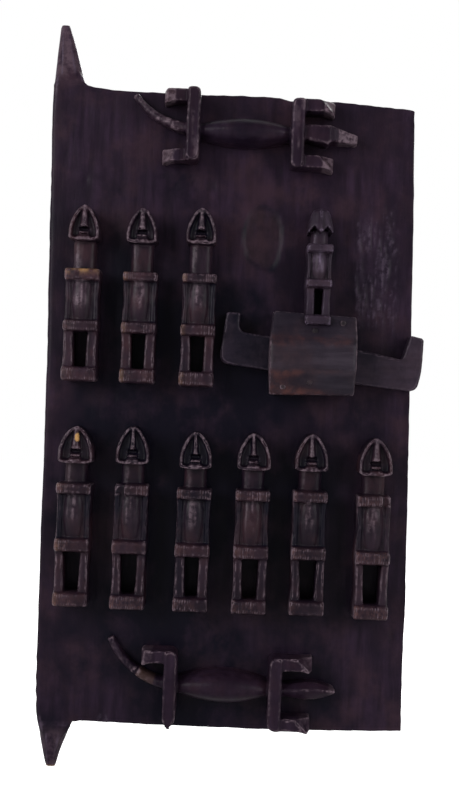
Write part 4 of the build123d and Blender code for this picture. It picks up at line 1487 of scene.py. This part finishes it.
@dataclass
class LockFigure(Ancestor):
    """The narrow figure that stands on the lock's case."""

    width: float = 25.5
    relief: float = 42.0
    voxel: float = 0.8
    shares: tuple[float, ...] = (0.085, 0.316, 0.393, 0.615, 0.692, 0.790)
    head_half: float = 12.2
    leg_gap: float = 4.2
    bar_rub: float = 0.10
    shoulder_rub: float = 0.05
    chest_highlight: float = 1.1
    face_shade: float = 0.0
    hatch: float = 0.1
    soot: float = 0.0
    foot_base: float = 20.0  # inside the case's front wall, clear of the tumblers' grooves

    def head(self, bottom: float, top: float) -> list[Shell]:
        """Hood of flat facets on either side of a ridge, with a lower edge shaped like a W.

        The lower side rises to a notch half way out on each side of the middle. The front falls away
        from the ridge in three facets, and towards the crown.

        Args:
            bottom: Level of the hood's lowest points.
            top: Level of its crown.

        Returns:
            The hood's one slab.
        """
        half, tall = self.head_half, top - bottom
        places = half * np.sin(np.linspace(-math.pi / 2, math.pi / 2, 61))
        reach = np.abs(places) / half
        low = bottom + 6.5 * np.clip(1 - np.abs(reach - 0.52) / 0.44, 0, 1)
        high = bottom + tall * np.interp(reach, (0, 0.25, 0.45, 0.60, 0.74, 0.88, 1),
                                         (1, 0.99, 0.965, 0.91, 0.78, 0.5, 0.13))

        def front(across: Array, up: Array) -> Array:
            """Height of the hood's facets.

            Args:
                across: Places across.
                up: Levels.

            Returns:
                Heights of the same shape.
            """
            fall = np.interp(np.abs(across) / half, (0, 0.09, 0.30, 0.62, 1), (1, 0.985, 0.905, 0.865, 0.78))
            share = (up - bottom) / tall
            return self.relief * (0.96 - 0.20 * share - 0.10 * smoothstep(0.85, 1.0, share)) * fall

        return [slab(places, low, high, front)]


# ---------------------------------------------------------------------------
# Lizards
# ---------------------------------------------------------------------------
@dataclass
class Lizard:
    """A lizard laid along the plank: spindle body, two pairs of legs with feet, tail and head."""

    piece: str
    seat: Seat
    seed: int
    hind_reach: tuple[float, float]  # below and above the body's middle
    fore_reach: tuple[float, float]
    tail_turn: float
    leaf_head: bool
    relief: float = 32.0
    half: float = 45.0
    body_width: float = 29.0
    leg: float = 13.0
    head_length: float = 53.0
    hind_foot: float = 23.5
    fore_foot: float = 30.0
    foot_height: float = 13.0
    foot_depths: tuple[float, float] = (0.66, 0.88)  # shares of the relief, behind and in front
    knee: float = 6.0  # rounding of the legs' corners beside the body
    tail_radius: float = 72.0
    break_turn: float = 33.0  # degrees round the tail to where it has cracked
    voxel: float = 0.9

    def body(self) -> Shell:
        """Smooth spindle whose half width and height swell as the cosine of the place along it.

        Over a share u of the half width its section stands (1 - |u|^2.3)^(1 / 2.3) of its height out.

        Returns:
            The body.
        """
        place = np.linspace(-self.half - 4, self.half + 4, 48)
        swell = np.cos(place / (self.half + 4) * math.pi / 2) ** 0.85
        half_width = 6.3 + (self.body_width / 2 - 6.3) * swell
        depth = self.relief * (0.62 + 0.36 * swell)
        u = np.concatenate([-np.cos(np.linspace(0, math.pi, 25)), [0.5, 0.0, -0.5]])
        v = np.where(np.arange(28) < 25, np.maximum(1 - np.abs(u) ** 2.3, 0) ** (1 / 2.3), 0)
        up = half_width[:, None] * u
        out = np.where(v > 0, depth[:, None] * v, -SINK)
        return stack(np.stack([np.broadcast_to(place[:, None], up.shape), up, out], axis=-1))

    def tail(self) -> Shell:
        """Crescent: an arc of the tail's radius that curls up, narrowing and sinking to its tip.

        Returns:
            The tail.
        """
        share = np.linspace(0, 1, 40)
        turn = np.radians(self.tail_turn * share)
        path = np.column_stack([-self.half - 2 - self.tail_radius * np.sin(turn),
                                1 + self.tail_radius * (1 - np.cos(turn))])
        front = self.relief * (0.74 - 0.46 * share) + 1.0
        return sweep(path, 12 - 5 * share, front, np.full(40, -SINK), power=2.7)

    def foot(self, side: int, low: float, length: float, depth: float, facet: float) -> Shell:
        """One foot: a bar that leaves the leg, with a chiselled facet at its end.

        The facet starts further from the end at the foot's upper side than at its lower one, so it shows
        as a triangle, and sinks evenly to the end. The lower side dips under it.

        Args:
            side: -1 for a hind foot, 1 for a fore foot.
            low: Its lower side.
            length: How far it stands out from the leg.
            depth: Its front.
            facet: Length of the facet at the foot's upper side.

        Returns:
            The foot.
        """
        root, end = self.half + 0.4 * self.leg, self.half + self.leg + length
        far = np.linspace(root, end, 44)
        lower = low + 0.4 - 2.6 * smoothstep(end - 12, end, far)
        upper = np.full(44, low + self.foot_height - 0.4)

        def front(across: Array, up: Array) -> Array:
            """Height of the foot's front.

            Args:
                across: Places across.
                up: Levels.

            Returns:
                Heights of the same shape.
            """
            left = end - np.abs(across)
            level = np.clip((up - low) / self.foot_height, 0, 1)
            sunk = np.clip(1 - left / (facet * (0.2 + 0.8 * level)), 0, 1)
            gap = np.minimum(np.minimum(up - low, low + self.foot_height - up), left)
            return depth - 0.55 * depth * sunk - 1.0 * (1 - np.clip(gap / 1.3, 0, 1)) ** 2

        return slab(side * far, lower, upper, front, rows=24)

    def limbs(self) -> list[Shell]:
        """Legs across the body, rounded beside it, and a foot at each end that has kept one.

        Returns:
            The legs and feet.
        """
        made = []
        for side, (below, above), length, depth, facets in (
            (-1, self.hind_reach, self.hind_foot, self.foot_depths[0] * self.relief, (4.0, 14.0)),
            (1, self.fore_reach, self.fore_foot, self.foot_depths[1] * self.relief, (17.0, 17.0)),
        ):
            stump = self.leaf_head and side < 0
            near, far = side * self.half, side * (self.half + self.leg)
            outline = rounded_outline([(near, above, self.knee), (far, above, 2.8),
                                       (far, -below, self.knee if stump else 2.8), (near, -below, self.knee)])
            made.append(board(outline, -SINK, 0.985 * self.relief, 2.4))
            made.append(self.foot(side, above - self.foot_height, length, depth, facets[0]))
            if not stump:
                made.append(self.foot(side, -below, length, depth, facets[1]))
        return made

    def head(self) -> Shell:
        """Head beyond the fore legs: a leaf with a ridge above its middle, or a block with a bent snout.

        Returns:
            The head.
        """
        start, end = self.half + 0.5 * self.leg, self.half + self.leg + self.head_length
        places = np.linspace(start, end, 60)
        share = np.linspace(0, 1, 60)
        if self.leaf_head:
            half = np.interp(share, (0, 0.18, 0.35, 0.52, 0.68, 0.82, 0.92, 0.97, 1),
                             (6, 6.1, 7.4, 8.7, 8.3, 6.4, 4.3, 3.1, 1.2))
            low, high = -1.04 * half, 0.96 * half
        else:
            low = np.interp(share, (0, 0.12, 0.50, 0.57, 1), (-6.2, -6.4, -11.0, -7.6, -8.0))
            high = np.interp(share, (0, 0.55, 1), (8.1, 8.1, 0.9))

        def front(across: Array, up: Array) -> Array:
            """Height of the head's front.

            Args:
                across: Places across.
                up: Levels.

            Returns:
                Heights of the same shape.
            """
            s = (across - start) / (end - start)
            bottom, top = (np.interp(s, share, line) for line in (low, high))
            if self.leaf_head:
                u = (up - bottom) / (top - bottom) * 2 - 1
                roof = np.where(u > 0.2, (u - 0.2) / 0.8, (0.2 - u) / 1.2)
                return self.relief * (0.80 - 0.14 * s) * (1 - 0.30 * roof**1.6)
            gap = np.minimum(np.minimum(up - bottom, top - up), end - across)
            return (self.relief * np.interp(s, (0, 0.53, 0.60, 1), (0.78, 0.78, 0.70, 0.50))
                    - 1.5 * (1 - np.clip(gap / 2.0, 0, 1)) ** 2)

        return slab(places, low, high, front, rows=28)

    def round_tail(self, skin: Skin) -> tuple[Array, Array]:
        """Find the tail among a skin's points.

        Args:
            skin: The lizard's skin.

        Returns:
            Degrees round the tail's arc, and from 0 to 1 how far the point is on the tail.
        """
        across, up, out = skin.points.T
        centre = np.array([-self.half - 2, 1 + self.tail_radius])
        turn = np.degrees(np.arctan2(centre[0] - across, centre[1] - up))
        radius = np.hypot(across - centre[0], up - centre[1])
        on_tail = smoothstep(2, 6, turn) * (across < -self.half - 2) * (np.abs(radius - self.tail_radius) < 8)
        return turn, on_tail * smoothstep(3, 6, out)

    def carve(self, skin: Skin) -> None:
        """Cut the crack across one tail, or fine strokes across the other head's snout.

        Args:
            skin: The lizard's skin, which is cut.
        """
        across, _, out = skin.points.T
        if self.leaf_head:
            turn, on_tail = self.round_tail(skin)
            skin.points[:, 2] -= 2.4 * on_tail * np.exp(-((turn - self.break_turn) / 0.9) ** 2)
            return
        root = self.half + self.leg
        snout = smoothstep(root + 31, root + 33, across) * smoothstep(8, 12, out)
        skin.points[:, 2] -= 0.45 * snout * np.maximum(np.sin(across * 2 * math.pi / 3.1), 0) ** 2

    def dress(self) -> bpy.types.Object:
        """Join, carve, dent and mark the lizard.

        Returns:
            The piece.
        """
        skin = skin_from([self.body(), self.tail(), self.head(), *self.limbs()], self.voxel)
        skin.smooth(2)
        self.carve(skin)
        skin.dent(Wear(cut=(16, 8, 8), cut_depth=0.4, seed=self.seed))
        return piece_from(skin, self.seat, self.marks(skin), self.piece)

    def marks(self, skin: Skin) -> Marks:
        """Pale marks on the feet's facets, along the legs, on the snout and in streaks along the tail: rubbed
        wood, with a painted highlight on the facets, the snout and the head's end.

        Args:
            skin: The lizard's skin.

        Returns:
            The marks.
        """
        across, up, out = skin.points.T
        turn, on_tail = self.round_tail(skin)
        past = np.abs(across) - self.half - self.leg
        length = np.where(across < 0, self.hind_foot, self.fore_foot)
        # painted highlight on the feet's end facets, which face the light
        facet = smoothstep(-13, -10, past - length) * (past < length + 1) * (np.abs(up) > 15)
        streak = smoothstep(-0.1, 0.6, smooth_noise(skin.points, (4, 13, 9), self.seed + 91))
        legs = (np.abs(past + self.leg / 2) < self.leg / 2) * smoothstep(0.86, 0.95, out / self.relief)
        speckle = smoothstep(0.1, 0.6, smooth_noise(skin.points, (4.5, 3.5, 9), self.seed + 93))
        on_body = (past < -self.leg) * smoothstep(4, 9, out)
        # pale marks: a painted highlight on the facets, the snout and the head's end, rubbed wood on the legs
        # and the tail
        if self.leaf_head:
            end = 0.55 * smoothstep(44, 50, past) * (across > 0)
            broken = 0.05 * on_tail * smoothstep(16, 18, turn) * fade(31, 32.5, turn)
            pale = 0.35 * facet + 0.25 * legs * streak + end + 2.5 * broken
            marks = edge_marks(skin, 0.0, broken, 0.25 * on_tail + 0.10 * on_body)
        else:
            snout = 0.65 * smoothstep(32, 35, past) * (across > 0)
            tail = 0.75 * on_tail * (0.25 + 0.75 * speckle) * smoothstep(6, 12, turn)
            pale = 0.70 * facet + 0.40 * legs * streak + snout + tail
            marks = edge_marks(skin, 0.25 * facet, 0.0, 0.30 * on_body)
        return replace(marks, worn_and_sheen=np.clip(marks.worn_and_sheen + pale, 0, 1))


# ---------------------------------------------------------------------------
# Lock
# ---------------------------------------------------------------------------
@dataclass
class Lock:
    """Case, bolt and pegs. The tumblers stay the frame's own nodes."""

    x: float = 252.74
    z: float = 378.87
    channel: float = 413.37
    tilt: float = 7.7
    case_width: float = 85.6
    case_height: float = 79.5
    channel_half: float = 17.25
    channel_depth: float = 21.0
    voxel: float = 0.9
    groove_top: float = 39.6  # grooves are cut about 1 mm large, since a skin rounds their corners
    groove_width: float = 10.0
    groove_depth: float = 15.8
    tumbler_places: tuple[float, float] = (-14.0, 12.0)
    throw: float = 22.5
    bar_half: float = 16.75
    bolt_left: float = -90.11
    bolt_right: float = 109.24
    bolt_thickness: float = 20.0
    clearance: float = 0.5
    peg_radius: float = 3.0

    def slanted(self, low: tuple[float, float], high: tuple[float, float], depth: float) -> Shell:
        """Block in the bolt's own plane, moved to the case's seat.

        A place (u, v) of that plane goes to x = u cos a + v sin a, z = v cos a - u sin a.

        Args:
            low: Its lowest u and v.
            high: Its highest u and v.
            depth: Its front.

        Returns:
            The block in (across, up, out).
        """
        turn = math.radians(self.tilt)
        u = np.array([low[0], high[0], high[0], low[0]])
        v = np.array([low[1], low[1], high[1], high[1]])
        x = u * math.cos(turn) + v * math.sin(turn)
        z = v * math.cos(turn) - u * math.sin(turn) + self.channel - self.z
        return stack(np.stack([np.column_stack([x, z, np.full(4, out)]) for out in (-6.0, depth)]))

    def case(self) -> bpy.types.Object:
        """Hewn block: sections across it from its foot to its top, then the channel and grooves cut out.

        Returns:
            The piece.
        """
        height = self.case_height

        def depth(share: Array) -> Array:
            """Front of the case: a flat face between two hewn slopes."""
            return np.interp(share * height, (0, 26, 47.5, height), (34, 48, 48, 32))

        block = post(
            (0.0, height),
            lambda s: np.interp(s, (0, 0.33, 0.6, 1), (-41.6, -42.8, -42.8, -38.8)),
            lambda s: np.interp(s, (0, 0.55, 1), (41.0, 42.8, 42.2)),
            depth, 0.0, Grip(0.9, 16.0))
        points = block.points.copy()
        points[:, 1] -= 0.058 * points[:, 0] * smoothstep(50, 80, points[:, 1])
        block = Shell(points, block.quads, block.ends)
        wide = 2 * self.case_width
        cuts = [((-wide, -self.channel_half), (wide, self.channel_half), self.channel_depth)]
        half = self.groove_width / 2
        cuts += [((place - half, 0.0), (place + half, self.groove_top), self.groove_depth)
                 for place in self.tumbler_places]
        skin = skin_from([block], self.voxel, [self.slanted(*cut) for cut in cuts])
        skin.smooth(2)
        outside = smoothstep(self.channel_depth + 1, self.channel_depth + 6, skin.points[:, 2])
        ends = smoothstep(20, 24, np.abs(skin.points[:, 1] - 38))
        wear = Wear(cut=(24, 13, 30), cut_depth=0.5, chip=0.8, sway=0.4, seed=301)
        skin.dent(wear, np.maximum(outside, 0.8 * ends))
        across, up, out = skin.points.T
        patch = smoothstep(-0.5, 0.5, smooth_noise(skin.points, (30, 14, 30), 305))
        red = 0.66 * fade(20, 28, up) * patch
        strip = 0.40 * smoothstep(42, 50, up) * fade(54, 66, up)
        strip = strip * smoothstep(-0.3, 0.6, smooth_noise(skin.points, (22, 9, 30), 307))
        stains = ((3.3, 64.0), (-38.5, 34.0), (41.0, 53.5))
        dark = sum(blot(across, up, place, (2.4, 3.2)) for place in stains)
        # darker over the lower slope, which faces down, and a little over the upper slope
        soot = 0.45 * fade(18, 28, up) + 0.22 * smoothstep(44, 54, up)
        marks = edge_marks(skin, np.clip(red + strip, 0, 1) * smoothstep(24, 30, out), soot=soot)
        # painted highlight along the case's two side edges
        sides = 0.55 * smoothstep(40.4, 41.8, np.abs(across)) * smoothstep(24, 30, out)
        marks = replace(marks, worn_and_sheen=np.clip(marks.worn_and_sheen + sides, 0, 1),
                        hollow=np.clip(marks.hollow + dark, 0, 1))
        return piece_from(skin, Seat(self.x, self.z), marks, "lock_case_hewn")

    def bolt_outline(self) -> Array:
        """The bolt's side view: a bar with two hooks, and two notches for the tumblers.

        Returns:
            Closed loop of points, shape (n, 2).
        """
        top, low = self.bar_half, -self.bar_half
        left, right = self.bolt_left, self.bolt_right
        corners = [(left, low, 10.0), (51.8, low, 6.0), (right - 3, -15.15, 7.0), (right, 3, 12.0),
                   (right - 3, 37.75, 2.5), (right - 16.5, 39.25, 2.0), (right - 21, 14.15, 3.0),
                   (51.8, top, 4.0)]
        for place in self.tumbler_places[::-1]:
            edge = (place - self.throw - 4.8, place - self.throw + 4.8)
            corners += [(edge[1], top, 0.4), (edge[1], top - 6, 0.4), (edge[0], top - 6, 0.4),
                        (edge[0], top, 0.4)]
        corners += [(left + 15, top, 8.0), (left + 14, 35.6, 2.2), (left, 34.1, 2.2)]
        return rounded_outline(corners, 1.2)

    def bolt(self) -> bpy.types.Object:
        """The bolt: its side view carried through its thickness, drawn in at both faces.

        Returns:
            The piece.
        """
        bar = board(self.bolt_outline(), self.clearance, self.clearance + self.bolt_thickness, 1.4)
        skin = skin_from([bar], self.voxel)
        skin.smooth(2)
        across, _, out = skin.points.T
        free = np.clip(smoothstep(44, 52, np.abs(across)) + 0.25, 0, 1)
        wear = Wear(cut=(20, 9, 9), cut_depth=0.40, chip=0.7, sway=0.35, seed=401)
        skin.dent(wear, free * smoothstep(1, 4, out))
        across, _, out = skin.points.T
        polish = 0.25 * smoothstep(70, 95, across) + 0.25 * fade(-90, -76, across)
        # darker towards the bolt's left end, lightest at its right hook
        soot = 0.62 - 0.25 * smoothstep(-60, 40, across) - 0.37 * smoothstep(60, 100, across)
        marks = edge_marks(skin, polish * smoothstep(14, 19, out), soot=soot)
        return piece_from(skin, Seat(self.x, self.channel, self.tilt), marks, "sliding_bolt")

    def peg(self, number: int) -> bpy.types.Object:
        """A peg: circles carried along its length, domed in front and cut flat at the back.

        Args:
            number: Which peg, 1 to 4.

        Returns:
            The piece.
        """
        low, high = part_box(f"case_peg_{number}")
        x, z = (low.x + high.x) / 2 / MM, (low.z + high.z) / 2 / MM
        front, back = -low.y / MM, -high.y / MM
        turn = np.linspace(0, 2 * math.pi, 36, endpoint=False)
        places = np.concatenate([[back + 0.05, back + 0.4], np.linspace(back + 3, front - 1.4, 12),
                                 front - 1.0 + 0.98 * np.sin(np.linspace(0.2, 1.5, 6))])
        shrink = np.concatenate([[0.5, 0.1], np.zeros(12), 2.2 * (1 - np.cos(np.linspace(0.2, 1.3, 6)))])
        uneven = 0.16 * np.sin(3 * turn + number) + 0.10 * np.sin(5 * turn + 2 * number)
        radius = (self.peg_radius - shrink)[:, None] + uneven * (1 - shrink / 3)[:, None] - 0.15
        across = radius * np.cos(turn)
        up = radius * np.sin(turn)
        out = np.broadcast_to(places[:, None] - PLANK_FRONT, across.shape)
        skin = Skin(mesh_of([stack(np.stack([across, up, out], axis=-1))]))
        head = smoothstep(front - PLANK_FRONT - 1.2, front - PLANK_FRONT - 0.4, skin.points[:, 2])
        rim = smoothstep(1.2, 2.6, np.hypot(skin.points[:, 0], skin.points[:, 1])) * head
        none = np.zeros(len(skin.points))
        pale, dark = {1: (0.5, 0.4), 2: (0.0, 0.8), 3: (1.0, 0.2), 4: (0.0, 0.6)}[number]
        marks = Marks(rim * pale, head * dark, none, none, none)
        return piece_from(skin, Seat(x, z), marks, f"peg_end_{number}")


# ---------------------------------------------------------------------------
# Stage
# ---------------------------------------------------------------------------
@dataclass
class Studio:
    """Pale floor, white surroundings, soft lamps and a camera straight in front."""

    camera_x: float = 173.05
    camera_z: float = 372.4
    camera_distance: float = 1300.0  # from the plank's carved face
    lens: float = 58.5
    sensor: float = 36.0
    roll: float = 1.24  # degrees
    world_fill: float = 0.32
    target: tuple[float, float, float] = (0.17, 0.0, 0.38)  # metres, where the lamps face
    floor_reach: float = 6.0  # metres each way

    def camera(self) -> None:
        """Camera level with the door's middle, turned about its own axis by the roll."""
        data = bpy.data.cameras.new("camera")
        data.lens, data.sensor_width = self.lens, self.sensor
        data.clip_start, data.clip_end = 0.05, 60.0
        camera = put("camera", data)
        turn = math.radians(self.roll)
        camera.matrix_world = Matrix((
            (math.cos(turn), -math.sin(turn), 0, self.camera_x * MM),
            (0, 0, -1, -(PLANK_FRONT + self.camera_distance) * MM),
            (math.sin(turn), math.cos(turn), 0, self.camera_z * MM),
            (0, 0, 0, 1)))
        bpy.context.scene.camera = camera

    def lamp(self, name: str, place: tuple[float, float, float], size: float, power: float) -> None:
        """Square softbox that faces the middle of the door.

        Args:
            name: Its name.
            place: Where it stands, in metres.
            size: Its side, in metres.
            power: Watts.
        """
        data = bpy.data.lights.new(name, "AREA")
        data.energy, data.size = power, size
        lamp = put(name, data)
        lamp.location = place
        lamp.rotation_euler = (Vector(self.target) - lamp.location).to_track_quat("-Z", "Y").to_euler()

    def world(self) -> None:
        """White where the camera, glass or gloss looks past the door, and a weak even fill elsewhere."""
        world = bpy.data.worlds.new("surroundings")
        nodes = empty_nodes(world)
        path = nodes.add("ShaderNodeLightPath").outputs
        direction = nodes.add("ShaderNodeTexCoord").outputs["Generated"]
        behind = nodes.add("ShaderNodeSeparateXYZ", {"Vector": direction}).outputs["Y"]
        mirrored = nodes.maths("MULTIPLY_ADD", nodes.ramp(behind, -0.35, 0.5), 0.85, 0.15)
        glossy = nodes.maths("MULTIPLY", path["Is Glossy Ray"], mirrored)
        seen = nodes.maths("MAXIMUM", path["Is Camera Ray"], path["Is Transmission Ray"])
        level = nodes.maths("MAXIMUM", nodes.maths("MAXIMUM", seen, glossy), self.world_fill)
        background = nodes.add("ShaderNodeBackground", {"Color": (1, 1, 1, 1), "Strength": level})
        nodes.add("ShaderNodeOutputWorld", {"Surface": background.outputs["Background"]})
        bpy.context.scene.world = world

    def floor(self) -> None:
        """Pale floor under the lower pivot's tip, white to the camera but for the door's shadow."""
        mesh = bpy.data.meshes.new("floor")
        reach = self.floor_reach
        corners = [(-reach, -reach, 0), (reach, -reach, 0), (reach, reach, 0), (-reach, reach, 0)]
        mesh.from_pydata(corners, [], [(0, 1, 2, 3)])
        floor = put("floor", mesh)
        made = bpy.data.materials.new("floor_paint")
        nodes = empty_nodes(made)
        path = nodes.add("ShaderNodeLightPath").outputs
        seen = nodes.maths("MAXIMUM", path["Is Camera Ray"], path["Is Transmission Ray"])
        shader = nodes.add("ShaderNodeBsdfPrincipled", {
            "Base Color": (0.85, 0.85, 0.85, 1), "Roughness": 0.9, "Specular IOR Level": 0.0,
            "Emission Color": (1, 1, 1, 1), "Emission Strength": nodes.maths("MULTIPLY", seen, 0.80)})
        nodes.add("ShaderNodeOutputMaterial", {"Surface": shader.outputs["BSDF"]})
        mesh.materials.append(made)

    def build(self) -> None:
        """Set the stage up."""
        self.camera()
        self.world()
        self.floor()
        self.lamp("key", (-1.10, -1.30, 0.95), 0.9, 22.0)
        self.lamp("fill", (1.50, -1.30, 0.80), 0.9, 13.0)
        self.lamp("back", (0.60, 1.60, 1.20), 1.2, 34.0)
        bpy.context.scene.view_settings.view_transform = "Standard"


# ---------------------------------------------------------------------------
# Door
# ---------------------------------------------------------------------------
def seat_piece(piece: bpy.types.Object, material: bpy.types.Material, body: str, nodes: Sequence[str]) -> None:
    """Give a piece its finish and body, and hide the nodes that it stands for.

    Args:
        piece: The piece.
        material: Its finish.
        body: The body that it rides on.
        nodes: The nodes that it replaces.
    """
    piece.data.materials.clear()
    piece.data.materials.append(material)
    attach(piece, body)
    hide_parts(*nodes)
    box = np.array([corner[:] for corner in piece.bound_box])
    LOG.info("%s on %s, %d points, box %s to %s mm", piece.name, body, len(piece.data.vertices),
             np.round(box.min(0) / MM, 1).tolist(), np.round(box.max(0) / MM, 1).tolist())


def ancestors() -> list[Ancestor]:
    """The nine figures, with what sets each one apart.

    Returns:
        The figures, upper row first.
    """
    upper = {1: {"gold": 0.8, "shoulder_rub": 0.9, "bar_rub": 0.35, "soot": 0.0, "chest_highlight": 1.2,
                 "shares": (0.084, 0.281, 0.348, 0.568, 0.640, 0.796)},
             2: {"shoulder_rub": 0.5, "bar_rub": 0.4, "orange_ends": 1.0, "soot": 0.20, "chest_highlight": 1.0},
             3: {"shoulder_rub": 0.45, "bar_rub": 0.35, "orange_ends": 1.0, "soot": 0.30, "chest_highlight": 1.0}}
    lower = {1: {"nose_chip": 1.0, "nose_half": 3.8, "head_half": 17.0, "bar_rub": 0.6, "shoulder_rub": 0.5,
                 "soot": 0.25, "orange_ends": 0.6},
             2: {"shoulder_span": (-0.20, 0.5), "nose_half": 2.4, "bar_rub": 0.55, "shoulder_rub": 0.4,
                 "soot": 0.42},
             3: {"nose_half": 2.2, "nose_lean": -0.8, "head_half": 15.7, "leg_gap": 7.3, "bar_rub": 0.4,
                 "shoulder_rub": 0.4, "soot": 0.45},
             4: {"nose_half": 2.2, "nose_lean": -1.0, "bar_rub": 0.45, "shoulder_rub": 0.5, "soot": 0.42},
             5: {"nose_half": 2.8, "nose_lean": -0.6, "bar_rub": 0.45, "shoulder_rub": 0.5, "soot": 0.36},
             6: {"shoulder_span": (-0.5, 0.23), "nose_half": 3.8, "nose_lean": 0.6, "leg_gap": 8.9,
                 "bar_rub": 0.6, "shoulder_rub": 0.5, "soot": 0.15}}
    common = {"upper": {}, "lower": {"shares": (0.083, 0.303, 0.379, 0.621, 0.685, 0.792), "head_half": 16.2,
                                     "leg_gap": 8.4, "chest_highlight": 0.7}}
    made = []
    for row, changes in (("upper", upper), ("lower", lower)):
        for number, change in changes.items():
            seed = 100 + 10 * number + (5 if row == "lower" else 0)
            made.append(Ancestor(f"ancestor_{row}_{number}", f"figure_{row}_{number}", seed,
                                 **{**common[row], **change}))
    return made


def main() -> None:
    """Build every sub-assembly in order, dress it and report it."""
    logging.basicConfig(level=logging.INFO, format="%(message)s")
    groups = {tree.name: tree for tree in (fibre_group(), patch_group(), breakup_group(), dust_and_shade_group())}
    materials = {slot: finish.material(groups) for slot, finish in FINISHES.items()}
    seat_piece(Plank().dress(), materials["plank_wood"], "door", ["panel"])
    for figure in ancestors():
        seat_piece(figure.dress(), materials["figure_wood"], "door", [figure.node])
    lizards = {
        "lizard_upper": Lizard("upper_lizard", Seat(182.8, 637.5, 1.0), 201, hind_reach=(32.0, 40.0),
                               fore_reach=(35.0, 33.0), tail_turn=56.0, leaf_head=False, tail_radius=76.0),
        "lizard_lower": Lizard("lower_lizard", Seat(171.5, 88.7, 1.0), 211, hind_reach=(38.0, 36.0),
                               fore_reach=(39.0, 33.0), tail_turn=66.0, leaf_head=True, body_width=33.0,
                               foot_depths=(0.88, 0.92), knee=9.0),
    }
    for node, lizard in lizards.items():
        seat_piece(lizard.dress(), materials["lizard_wood"], "door", [node])
    keeper = LockFigure("lock_figure", "lock_keeper", 221)
    seat_piece(keeper.dress(), materials["keeper_wood"], "door", [keeper.node])
    lock = Lock()
    seat_piece(lock.case(), materials["lock_wood"], "door", ["lock_case"])
    seat_piece(lock.bolt(), materials["bolt_wood"], "bolt", ["bolt"])
    for number in (1, 2, 3, 4):
        seat_piece(lock.peg(number), materials["peg_wood"], "door", [f"case_peg_{number}"])
    for number in (1, 2):
        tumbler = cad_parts[f"tumbler_{number}"]
        tumbler.data.materials.clear()
        tumbler.data.materials.append(materials["tumbler_wood"])
    Studio().build()


if __name__ == "__main__":
    main()
